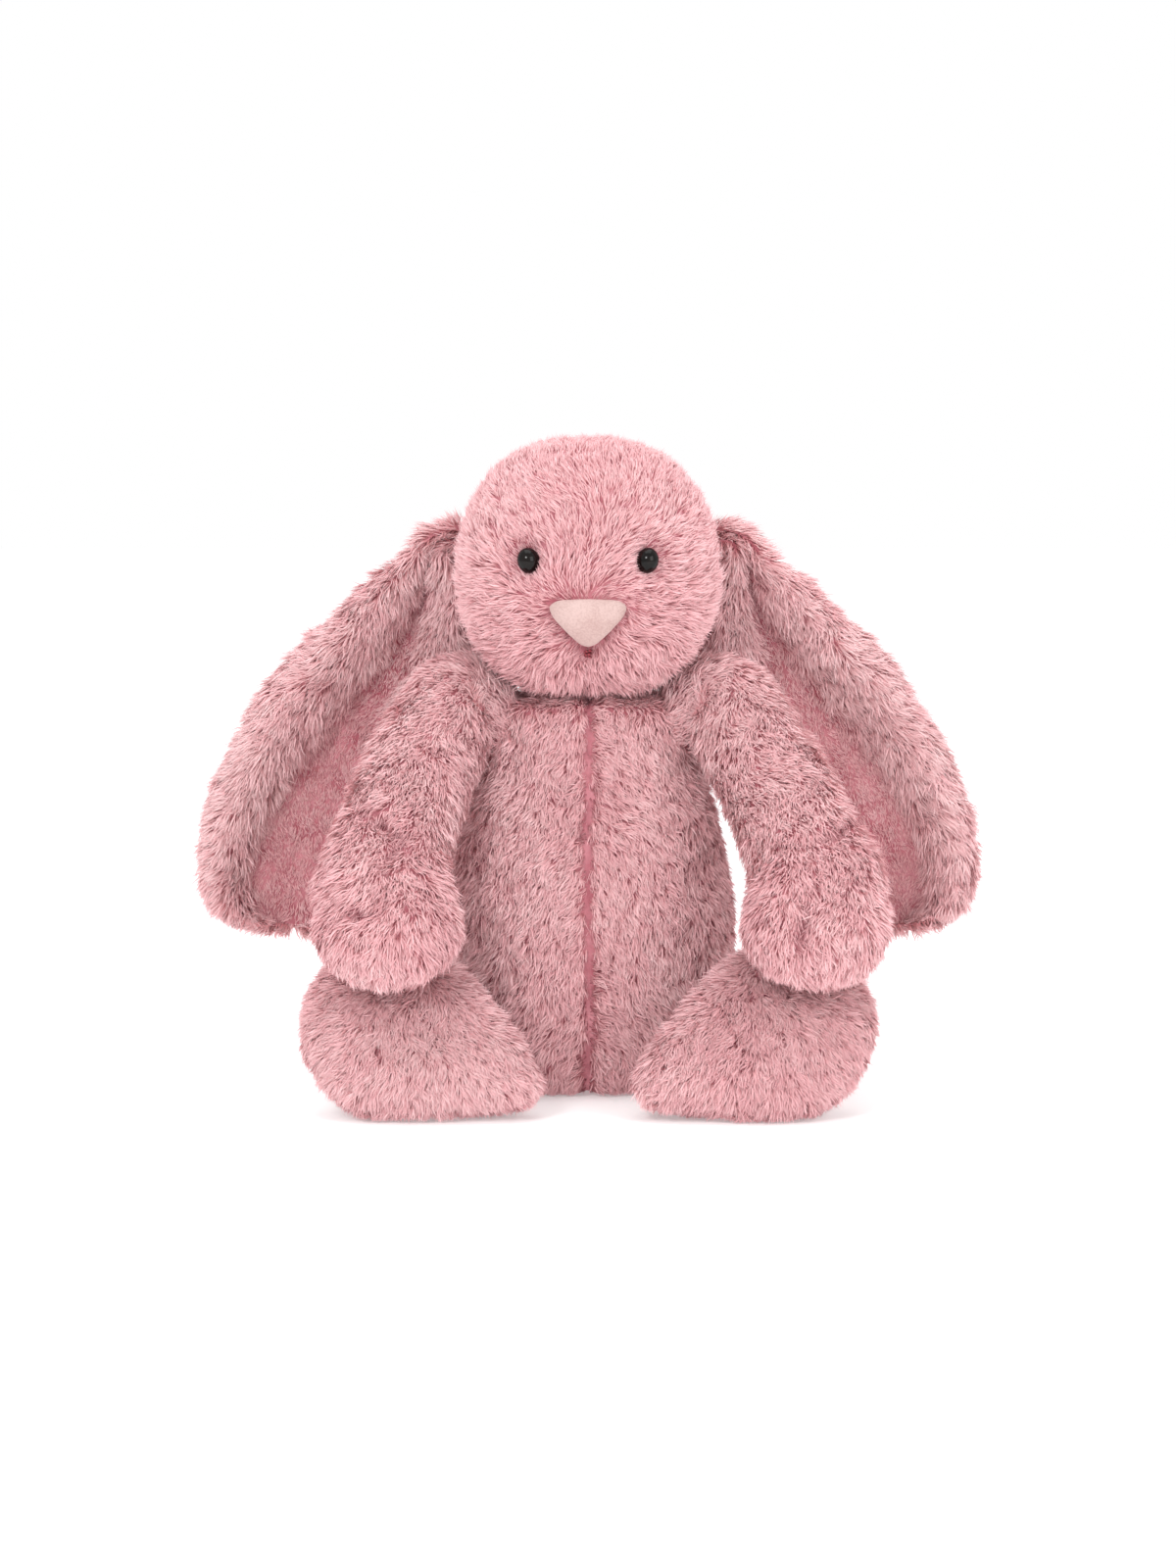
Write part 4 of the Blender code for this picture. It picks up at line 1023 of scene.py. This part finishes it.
@dataclass
class Arm(Plush):
    """Hanging arm that widens to a soft paw."""
    side: Side = Side.LEFT
    fibres: int = 46000
    rows: int = 90
    columns: int = 72
    cut: PileCut = PileCut(length=6.8, root_lean=52.0, tip_lean=77.0)
    shoulder: tuple[float, float, float] = (49.04, -10.0, 149.0)
    shoulder_radius: float = 13.0
    depth: float = 35.0
    width: float = 41.0
    paw_depth: float = 37.0
    paw_width: float = 53.0
    root: tuple[float, float, float] = (-17.0, -4.0, 12.0)
    pile_depth: float = 1.6
    folds: tuple[tuple[float, float, float, float], ...] = ()

    def reach(self) -> Array:
        """Route from inside the torso to the paw: out, forward, down and two radii."""
        left = ((0, 0, 0), (9, 10, 13), (20, 27, 32), (27, 42, 48), (33, 56, 63), (32, 67, 78))
        right = ((0, 0, 0), (7, 10, 13), (15, 27, 32), (21, 42, 48), (24.5, 56, 63), (22, 67, 78))
        growth = ((0.3, 0), (0.85, 0), (1, 0), (1, 0.1), (1, 0.6), (1, 1))
        rows = [(*self.root, 13.0, 14.0)]
        for place, (arm, paw) in zip(left if self.side is Side.LEFT else right, growth):
            rows.append((*place, *(self.shoulder_radius + arm * (limb / 2 - self.shoulder_radius)
                                   + paw * (hand - limb) / 2
                                   for limb, hand in ((self.depth, self.paw_depth),
                                                      (self.width, self.paw_width)))))
        rows = np.array(rows, float)
        rows[:, :3] = (np.array(self.shoulder) + rows[:, :3] * (1, -1, -1)) * (self.side.value, 1, 1)
        return rows

    def surface(self, u: Array, v: Array) -> Array:
        """Arm from inside the torso at u = 0 to the end of the paw; v = 0 faces forwards."""
        return sweep(self.reach(), (0, -1, 0.3), u, v, cap=0.13)

    def fold_depth(self, place: Array) -> Array:
        """How deep each place lies in one of the sewn-in folds, from 0 to 1."""
        depth = np.zeros(place.shape[:-1])
        for x, z, long, turn in self.folds:
            dx, dz = place[..., 0] - x, place[..., 2] - z
            along = dx * math.cos(turn) + dz * math.sin(turn)
            cross = -dx * math.sin(turn) + dz * math.cos(turn)
            depth += (np.exp(-(along / long)**2 - (cross / 2.6)**2)
                      * (place[..., 1] < self.shoulder[1] - 8))
        return np.clip(depth, 0, 1)

    def dimple(self, points: Array, u: Array, v: Array) -> Array:
        """Folds pressed in over slight lumps of the filling."""
        return 2.4 * self.fold_depth(points) + 0.8 * ripple(points, 19.0, self.seed + 1)

    def comb(self, place: Array, normal: Array, uv: Array) -> Array:
        """Along the arm, and fanning out over the end of the paw."""
        route = self.reach()[:, :3]
        at = np.clip(uv[:, 0], 0.02, 0.8)
        step = self.surface(at + 0.02, uv[:, 1]) - self.surface(at - 0.02, uv[:, 1])
        paw = np.clip((uv[:, :1] - 0.62) / 0.3, 0, 1)
        return (unit(step) * (1 - paw) + paw * np.array([0.0, 0.1, -1.0])
                + 0.3 * paw * unit(place - route[-1]))

    def trim(self, place: Array, uv: Array) -> Array:
        """Full length but clipped in the folds and short inside the torso."""
        return (1 - 0.35 * self.fold_depth(place)) * np.clip(0.3 + uv[:, 0] / 0.2, 0.3, 1)

    def tone(self, place: Array, uv: Array) -> Array:
        """Painted shade deep in the folds, and a little deeper on the paw."""
        # The fold term is painted shade in the creases.
        return 0.68 - 0.34 * self.fold_depth(place) - 0.12 * np.clip((uv[:, 0] - 0.55) / 0.2, 0, 1)

    def density(self, points: Array, u: Array, v: Array) -> Array:
        """Thin where the arm runs into the torso."""
        return np.where(u < 0.1, 0.25, 1.0)

    def attach(self, piece: bpy.types.Object) -> None:
        """Bake the piece's place into its mesh, leaving it tied to no body."""
        x, y, z = self.shoulder
        x *= self.side.value
        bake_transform(piece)


@dataclass
class Foot(Plush):
    """Egg-shaped foot with its sole turned up to the front."""
    side: Side = Side.LEFT
    fibres: int = 52000
    rows: int = 84
    columns: int = 120
    pile_depth: float = 3.6
    cut: PileCut = PileCut(length=6.4, tuft=3.4)
    half_length: float = 48.5
    half_breadth: float = 37.5
    half_thickness: float = 18.0
    tilt: float = 32.0
    roll: float = 66.0
    aside: float = 59.5
    forward: float = 64.0
    settle: float = 1.5

    def axes(self) -> tuple[Array, Array, Array]:
        """Sole normal, heel-to-toe direction and cross direction."""
        tilt, roll = math.radians(self.tilt), math.radians(self.roll)
        normal = np.array([0.0, -math.cos(tilt), math.sin(tilt)])
        upright = np.array([0.0, math.sin(tilt), math.cos(tilt)])
        along = math.sin(roll) * np.array([self.side.value, 0.0, 0.0]) + math.cos(roll) * upright
        return normal, along, np.cross(normal, along)

    def about_centre(self, u: Array, v: Array) -> Array:
        """Foot from the sole's middle at u = 0 to the instep's at u = 1.

        The outline is an egg whose breadth grows from heel to toe, and the thickness
        falls with the cosine of u.

        Args:
            u: 0 to 1 from sole to instep.
            v: 0 to 1 once round, from the toes.

        Returns:
            Places about the foot's centre.
        """
        normal, along, cross = self.axes()
        ring, around = np.sin(np.pi * u)**0.8, 2 * np.pi * v
        size = smooth_curve((0.0, 0.15, 0.35, 0.6, 0.8, 1.0),
                            ((0.50, 0.95), (0.58, 0.96), (0.75, 0.98), (0.95, 1.0), (1.0, 1.0),
                             (0.94, 0.95)), (1 + ring * np.cos(around)) / 2)
        return (self.half_length * (ring * np.cos(around))[..., None] * along
                + (size[..., 0] * self.half_breadth * ring * np.sin(around))[..., None] * cross
                + (size[..., 1] * self.half_thickness * np.cos(np.pi * u))[..., None] * normal)

    def middle(self) -> Array:
        """Centre of the foot, its lowest point pressed into the floor."""
        u, v = np.meshgrid(np.linspace(0, 1, 41), np.linspace(0, 1, 49), indexing="ij")
        lowest = self.about_centre(u, v)[..., 2].min()
        return np.array([self.side.value * self.aside, -self.forward, -self.settle - lowest])

    def surface(self, u: Array, v: Array) -> Array:
        """Foot in its place, flat where it stands."""
        points = self.about_centre(u, v) + self.middle()
        points[..., 2] = np.maximum(points[..., 2], 0)
        return points

    def edge(self, place: Array) -> Array:
        """How near each place is to the seam round the sole, from 0 to 1."""
        normal = self.axes()[0]
        return np.exp(-(((place - self.middle()) @ normal + 3.0) / 2.6)**2)

    def dimple(self, points: Array, u: Array, v: Array) -> Array:
        """Seam round the sole, a shallow crease along it, and slight lumps."""
        _, along, cross = self.axes()
        local = points - self.middle()
        crease = (np.exp(-((local @ along + 4) / 3.0)**2 - ((local @ cross) / 16)**2)
                  * (u < 0.4))
        return 0.9 * self.edge(points) + 1.1 * crease + 0.8 * ripple(points, 20.0, self.seed + 1)

    def comb(self, place: Array, normal: Array, uv: Array) -> Array:
        """Outwards from the middle of the sole and of the instep, settling downwards."""
        return 0.55 * unit(place - self.middle()) + np.array([0.0, 0.0, -1.0])

    def tone(self, place: Array, uv: Array) -> Array:
        """A little deeper along the seam, with painted shade towards the floor."""
        # The floor term is painted shade near the floor.
        return 0.60 - 0.14 * self.edge(place) - 0.06 * np.exp(-place[:, 2] / 10)

    def attach(self, piece: bpy.types.Object) -> None:
        """The foot turns with its leg."""
        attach(piece, f"{self.side.word}_leg")


@dataclass
class Thigh(Plush):
    """Short leg from the torso's flank to the back of the foot."""
    side: Side = Side.LEFT
    fibres: int = 9000
    rows: int = 40
    columns: int = 48
    cut: PileCut = PileCut(length=7.0)
    hip: tuple[float, float, float] = (46.93, -38.75, 25.0)
    foot: tuple[float, float, float] = (55.4, -53.9, 33.0)
    radius: float = 14.5

    def surface(self, u: Array, v: Array) -> Array:
        """Tube from inside the torso to inside the foot."""
        hip, foot = (np.array(p) * (self.side.value, 1, 1) for p in (self.hip, self.foot))
        inner = hip - (foot - hip) * 0.7
        rows = [(*inner, self.radius, self.radius), (*hip, self.radius, self.radius),
                (*foot, self.radius + 1.2, self.radius + 1.2)]
        return sweep(rows, (0, 0, 1), u, v)

    def comb(self, place: Array, normal: Array, uv: Array) -> Array:
        """Towards the foot and down."""
        return np.array([self.side.value * 0.5, -0.8, -0.5]) + 0 * place

    def attach(self, piece: bpy.types.Object) -> None:
        """Bake the piece's place into its mesh, leaving it tied to no body."""
        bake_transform(piece)


@dataclass
class Ear(Plush):
    """Long lop ear: a flat back whose two edges roll forwards beside a lined valley."""
    side: Side = Side.LEFT
    slot: str = "plush"
    fibres: int = 66000
    rows: int = 130
    columns: int = 120
    pile_depth: float = 0.4
    fill: float = 0.45
    cut: PileCut = PileCut(length=8.2, tuft=4.6, gather=0.45)
    hinge: tuple[float, float, float] = (57.14, 16.0, 205.5)
    length: float = 163.0
    breadth: float = 72.0
    roll: float = 7.5
    root_width: float = 10.0
    valley: float = 19.0
    tip_share: float = 0.17
    lining: float = 2.2
    inside: float = 0.09
    keys: tuple[float, ...] = (-0.09, 0.0, 0.12, 0.3, 0.5, 0.75, 1.0)

    def section(self, s: Array) -> tuple[Array, Array, Array]:
        """Sizes of the cross-section at a share of the ear's length.

        Args:
            s: Share of the length, below 0 inside the head.

        Returns:
            Half-width up to the roll's middle, roll radius and half the valley.
        """
        rows = smooth_curve(self.keys, ((0.0, 0.36, 0.05), (0.0, 0.40, 0.06), (0.42, 0.75, 0.08),
                                        (0.80, 1.1, 0.26), (1, 1.2, 0.48), (1, 1.1, 0.78),
                                        (0.94, 0.7, 1)), s)
        late = np.clip((s - 1 + self.tip_share) / self.tip_share, 0, 1)
        tip = np.clip(1 - late**3, 0.0, 1)**(1 / 3) * np.sqrt(np.clip((s + self.inside) / 0.04, 0, 1))
        half = (self.root_width + rows[..., 0] * (self.breadth - self.root_width)) / 2 * tip
        roll = np.minimum(rows[..., 1] * self.roll, 0.7 * half)
        return half - roll, roll, np.minimum(rows[..., 2] * self.valley * tip, half - roll)

    def centre(self, s: Array) -> Array:
        """Middle of the ear's back at a share of its length."""
        path = ((-0.075, -0.01, -0.02), (0, 0, 0), (0.03, 0.06, 0.115), (0.10, 0.09, 0.285),
                (0.205, 0.115, 0.465), (0.322, 0.125, 0.69), (0.35, 0.115, 0.92))
        root = np.array(self.hinge) * (self.side.value, 1, 1)
        scale = self.length * np.array([self.side.value, 1, -1])
        return root + smooth_curve(self.keys, path, s) * scale

    def heading(self, s: Array, step: float) -> Array:
        """Way from just before to just after a share of the ear's length."""
        return (self.centre(np.clip(s + step, -self.inside, 1))
                - self.centre(np.clip(s - step, -self.inside, 1)))

    def surface(self, u: Array, v: Array) -> Array:
        """Closed folded ear.

        The half section runs from the lining's middle, up the inside of the roll, round
        it and along the back to its middle, as a smooth curve through nine places.  It is
        mirrored for the other half, and every section stands square to the ear's path.

        Args:
            u: 0 at the root inside the head to 1 at the tip.
            v: 0 in the middle of the lining, 0.5 in the middle of the back.

        Returns:
            Places on the surface.
        """
        s = u * (1 + self.inside) - self.inside
        flat, roll, valley = self.section(s)
        turn = 1 - np.abs(2 * v - 1)
        lined = np.minimum(self.lining, 0.6 * roll)
        rows = ((0 * flat, lined), (0.55 * valley, lined), (valley, lined + 0.30 * roll),
                (np.maximum(flat - 0.75 * roll, 0.5 * (flat + valley)), 1.62 * roll),
                (flat + 0.10 * roll, 2 * roll), (flat + roll, roll),
                (flat + 0.2 * roll, 0.06 * roll), (0.55 * flat, 0 * roll), (0 * flat, 0 * roll))
        keys = np.array((0, 0.12, 0.25, 0.37, 0.46, 0.58, 0.70, 0.85, 1.0))
        across, forward = (np.stack([row[i] for row in rows], -1) for i in range(2))
        slope = [np.diff(c, axis=-1) / np.diff(keys) for c in (across, forward)]
        span = np.clip(np.searchsorted(keys, turn, side="right") - 1, 0, len(keys) - 2)
        t = (turn - keys[span]) / np.diff(keys)[span]
        width = np.diff(keys)[span]

        def read(values: Array, slopes: Array) -> Array:
            """Cubic through the section's places."""
            tangent = np.concatenate([slopes[..., :1], (slopes[..., :-1] + slopes[..., 1:]) / 2,
                                      slopes[..., -1:]], -1)

            def pick(table: Array, at: Array) -> Array:
                """Column of each row."""
                return np.take_along_axis(table, at[..., None], -1)[..., 0]
            return cubic(t, width, (pick(values, span), pick(values, span + 1)),
                         (pick(tangent, span), pick(tangent, span + 1)))
        x = read(across, slope[0]) * np.where(v < 0.5, 1, -1)
        f = read(forward, slope[1])
        outward = unit(np.cross(self.heading(s, 0.01), (0.0, self.side.value, 0.0)))
        return self.centre(s) + x[..., None] * outward - f[..., None] * np.array([0, 1, 0])

    def lined_share(self, uv: Array) -> Array:
        """1 on the lining, 0 on the back and rolled edges."""
        turn = 1 - np.abs(2 * uv[..., 1] - 1)
        return 1 / (1 + np.exp((turn - 0.27) / 0.02))

    def dimple(self, points: Array, u: Array, v: Array) -> Array:
        """Slack ripples of the cloth."""
        return 0.7 * ripple(points, 18.0, self.seed + 1)

    def comb(self, place: Array, normal: Array, uv: Array) -> Array:
        """Down the ear, and outwards over each rolled edge."""
        s = uv[:, 0] * (1 + self.inside) - self.inside
        down = unit(self.heading(s, 0.02))
        outward = unit(np.cross(down, (0.0, self.side.value, 0.0)))
        edge = np.where(uv[:, 1] < 0.5, 1, -1) * (1 - self.lined_share(uv)) * 0.45
        return down + edge[:, None] * outward + np.array([0.0, 0.0, -0.25])

    def trim(self, place: Array, uv: Array) -> Array:
        """Short and velvety on the lining."""
        return 1 - 0.62 * self.lined_share(uv)

    def tone(self, place: Array, uv: Array) -> Array:
        """Deeper on the lining: painted shade of the valley between the rolled edges."""
        # The lining term is painted shade in the valley.
        return 0.72 - 0.16 * self.lined_share(uv)

    def attach(self, piece: bpy.types.Object) -> None:
        """Bake the piece's place into its mesh, leaving it tied to no body."""
        x, y, z = (c * MM for c in self.hinge)
        x *= self.side.value
        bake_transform(piece)


@dataclass
class Tail(Plush):
    """Round fluffy tail low on the back."""
    name: str = "tail"
    nodes: tuple[str, ...] = ("tail_cover",)
    fibres: int = 12000
    rows: int = 30
    columns: int = 40
    seed: int = 701
    cut: PileCut = PileCut(length=9.0, root_lean=24.0, tip_lean=50.0, tuft=4.5)
    centre: tuple[float, float, float] = (0.0, 49.9, 29.0)
    radius: float = 14.0

    def surface(self, u: Array, v: Array) -> Array:
        """Ball with its far pole backwards."""
        ring, around = np.sin(np.pi * u), 2 * np.pi * v
        direction = np.stack([ring * np.cos(around), np.cos(np.pi * u), ring * np.sin(around)], -1)
        return direction * self.radius + self.centre

    def comb(self, place: Array, normal: Array, uv: Array) -> Array:
        """Slow swirls every way, settling downwards."""
        return np.stack([ripple(place, 7.0, salt) for salt in (3, 4, 5)], -1) - (0, 0, 0.5)

    def tone(self, place: Array, uv: Array) -> Array:
        """Paler than the body."""
        return np.full(len(place), 0.62)

    def attach(self, piece: bpy.types.Object) -> None:
        """Sewn to the torso."""
        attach(piece, "torso")


@dataclass
class Face:
    """Nose, eyes and mouth knot of the head."""
    head: Head
    nose_crown: float = 2.4
    nose_back: float = 3.0
    nose_sink: float = 1.0
    eye_radii: tuple[float, float, float] = (4.0, 4.7, 4.2)
    eye_sink: float = 2.6

    def nose_outline(self, v: Array) -> Array:
        """Rounded triangle across and above the head's centre, once round for v to 1."""
        half = ((0, -9.7), (6, -9.9), (11.2, -10.5), (13.8, -12.5), (13.0, -15.6), (9.4, -20.0),
                (5.4, -24.0), (2.4, -26.4), (0, -27.1))
        ring = np.array(half + tuple((-x, z) for x, z in half[-2:0:-1]) + half[:1], float)
        step = np.linalg.norm(np.diff(ring, axis=0), axis=1)
        keys = np.concatenate([[0], np.cumsum(step)]) / step.sum()
        return smooth_curve(np.concatenate([keys[-2:-1] - 1, keys, keys[1:2] + 1]),
                            np.vstack([ring[-2], ring, ring[1]]), v)

    def nose(self) -> bpy.types.Object:
        """Pillow over the nose's outline, bulging by the cosine of u on the face's surface."""
        def surface(u: Array, v: Array) -> Array:
            """Nose from its front middle to its back middle."""
            middle = np.array([0.0, -15.6])
            spread = (np.sin(np.pi * u)**0.62)[..., None]
            place = middle + spread * (self.nose_outline(v) - middle)
            rise = np.where(u < 0.5, self.nose_crown, self.nose_back) * np.cos(np.pi * u)
            point = self.head.face_point(place[..., 0], place[..., 1])
            point[..., 1] -= rise - self.nose_sink
            return point
        return Scalp.of(surface, 60, 96).backing("nose_pad", VELOUR)

    def eye(self, side: Side) -> bpy.types.Object:
        """Oval glossy dome, sunk into the pile and turned with the face."""
        centre = self.head.eye_centre(side)
        normal = self.head.face_normal(side.value * self.head.eye_aside, self.head.eye_rise)
        across = unit(np.cross(normal, (0.0, 0.0, 1.0)))
        above = np.cross(across, normal)
        tilt = math.radians(14) * side.value
        across, above = (math.cos(tilt) * across + math.sin(tilt) * above,
                         math.cos(tilt) * above - math.sin(tilt) * across)

        def surface(u: Array, v: Array) -> Array:
            """Ellipsoid with its pole outwards."""
            ring, around = np.sin(np.pi * u), 2 * np.pi * v
            wide, tall, deep = self.eye_radii
            return (centre - self.eye_sink * normal
                    + (deep * np.cos(np.pi * u))[..., None] * normal
                    + (wide * ring * np.cos(around))[..., None] * across
                    + (tall * ring * np.sin(around))[..., None] * above)
        return Scalp.of(surface, 40, 64).backing(f"{side.word}_eye_dome", EYE)

    def mouth(self) -> bpy.types.Object:
        """Thread knot: a tube wound twice round a short upright bar."""
        centre = self.head.face_point(np.array(0.0), np.array(-29.8))

        def surface(u: Array, v: Array) -> Array:
            """Tube round a flattened coil of two turns."""
            turn = 4 * np.pi * u
            wave = np.stack([1.1 * np.cos(turn), -0.6 * np.sin(turn), 2.6 * (0.5 - u)], -1)
            tangent = unit(np.stack([-1.1 * np.sin(turn), -0.6 * np.cos(turn),
                                     -2.6 / (4 * np.pi) + 0 * turn], -1))
            side = unit(np.cross(tangent, (0.0, 0.3, 1.0)))
            up = np.cross(side, tangent)
            size = (0.48 * np.clip(np.minimum(u, 1 - u) / 0.02, 0, 1)**0.5)[..., None]
            around = (2 * np.pi * v)[..., None]
            return centre + (0, 1.6, 0) + wave + size * (np.cos(around) * side + np.sin(around) * up)
        return Scalp.of(surface, 120, 14).backing("mouth_knot", THREAD)

    def build(self) -> None:
        """Make the nose, both eyes and the knot on the head."""
        nose, knot = self.nose(), self.mouth()
        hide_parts("nose_patch")
        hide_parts("mouth_stitch")
        for piece in (nose, knot):
            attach(piece, "head")
        for side in Side:
            dome = self.eye(side)
            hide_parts(f"{side.word}_eye")
            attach(dome, "head")
        LOG.info("face: nose pad, two eyes and mouth knot")


@dataclass
class Neck:
    """Short gathered neck that closes the gap between torso and head."""
    radius: float = 13.0
    low: float = 133.0
    high: float = 156.0

    def build(self) -> None:
        """Gathered tube, its pleats 12 to the round, riding on the neck."""
        def surface(u: Array, v: Array) -> Array:
            """Barrel with shallow pleats."""
            around = 2 * np.pi * v
            pleats = 1 + 0.05 * np.cos(12 * around)
            size = self.radius * np.sin(np.pi * np.clip(u, 0, 1))**0.35 * pleats
            return np.stack([size * np.cos(around), size * np.sin(around),
                             self.low + (self.high - self.low) * u], -1)
        piece = Scalp.of(surface, 24, 96).backing("neck_gather", BACKING)
        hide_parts("neck_stuffing")
        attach(piece, "neck")
        LOG.info("neck: gathered tube")


@dataclass
class Studio:
    """White paper, soft lights and the camera."""
    target: tuple[float, float, float] = (0.0, -0.020, 0.1165)
    distance: float = 1.400
    elevation: float = 5.5
    lens: float = 86.6
    ambient: float = 0.86

    def camera(self) -> None:
        """Level camera in front, looking slightly down."""
        rise = math.radians(self.elevation)
        data = bpy.data.cameras.new("front_camera")
        data.lens, data.sensor_width, data.clip_end = self.lens, 36.0, 50.0
        made = bpy.data.objects.new("front_camera", data)
        x, y, z = self.target
        made.location = (x, y - self.distance * math.cos(rise), z + self.distance * math.sin(rise))
        made.rotation_euler = (math.pi / 2 - rise, 0.0, 0.0)
        bpy.context.scene.collection.objects.link(made)
        bpy.context.scene.camera = made

    def softbox(self, name: str, place: tuple[float, float, float], size: float,
                power: float) -> None:
        """Square area light that faces the toy.

        Args:
            name: Name of the light.
            place: Its place in metres.
            size: Side length in metres.
            power: Power in watts.
        """
        data = bpy.data.lights.new(name, "AREA")
        data.shape, data.size, data.energy = "SQUARE", size, power
        made = bpy.data.objects.new(name, data)
        made.location = place
        aim = np.array(self.target) - place
        flat = math.hypot(aim[0], aim[1])
        made.rotation_euler = (math.pi / 2 + math.atan2(aim[2], flat), 0.0,
                               math.atan2(aim[1], aim[0]) - math.pi / 2)
        bpy.context.scene.collection.objects.link(made)

    def build(self) -> None:
        """Lay the paper and set the lights and the camera."""
        corner = np.array([(-6, -6, 0), (6, -6, 0), (6, 6, 0), (-6, 6, 0)], float) / MM
        floor = make_mesh("studio_floor", corner, np.arange(4), np.array([4]), PAPER)
        world = bpy.data.worlds.new("soft_white_room")
        world.use_nodes = True
        bpy.context.scene.world = world
        tree = world.node_tree
        seen = add_node(tree, "LightPath").outputs["Is Camera Ray"]
        strength = add_node(tree, "MapRange", {0: seen, 3: self.ambient, 4: 1.0})
        background = tree.nodes["Background"]
        set_inputs(tree, background, {"Color": (1.0, 1.0, 1.0, 1.0),
                                      "Strength": strength.outputs[0]})
        self.softbox("key_softbox", (-0.7, -1.75, 1.3), 0.5, 15.0)
        self.softbox("fill_softbox", (1.3, -1.5, 0.9), 1.2, 11.0)
        self.softbox("top_softbox", (0.0, 0.1, 2.0), 1.6, 12.0)
        bpy.context.scene.view_settings.view_transform = "Standard"
        self.camera()
        LOG.info("studio: paper, three softboxes and camera")


@dataclass
class InnerParts:
    """Fillings and fittings that keep their frame shapes and only get their materials."""
    finishes: dict[str, Finish] = field(default_factory=lambda: {
        "stuffing": FILLING, "bean": PELLETS, "washer": NYLON, "label": SATIN, "eye": EYE,
        "stitch": THREAD, "nose": VELOUR})

    def build(self) -> None:
        """Give every frame node the finish that its name calls for, or the backing's."""
        for name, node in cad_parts.items():
            finish = next((f for word, f in self.finishes.items() if word in name), BACKING)
            for slot in node.material_slots:
                slot.material = finish.material()
        LOG.info("inner parts: %d frame nodes given their materials", len(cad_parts))


def main() -> None:
    """Build the toy in order: studio, inner parts, torso, head, limbs and trim."""
    logging.basicConfig(level=logging.INFO, format="%(name)s: %(message)s")
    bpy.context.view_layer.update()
    Studio().build()
    InnerParts().build()
    Torso().build()
    Neck().build()
    head = Head()
    head.build()
    Face(head).build()
    folds = {Side.LEFT: ((80, 140, 7, -0.9), (76, 74, 8, 1.3), (88, 104, 8, 0.3)),
             Side.RIGHT: ((-73, 107, 9, -0.5), (-69, 98, 6, 0.6), (-80, 78, 6, 0.2))}
    for number, side in enumerate(Side):
        word = side.word
        Arm(name=f"{word}_arm", nodes=(f"{word}_arm_front", f"{word}_arm_back"), side=side,
            seed=301 + number, folds=folds[side]).build()
        Thigh(name=f"{word}_thigh", nodes=(f"{word}_thigh",), side=side, seed=401 + number).build()
        Foot(name=f"{word}_foot", nodes=(f"{word}_foot_sole", f"{word}_foot_instep"), side=side,
             seed=501 + number).build()
        Ear(name=f"{word}_ear", nodes=(f"{word}_ear_back", f"{word}_ear_lining"), side=side,
            seed=601 + number).build()
    Tail().build()


if __name__ == "__main__":
    main()
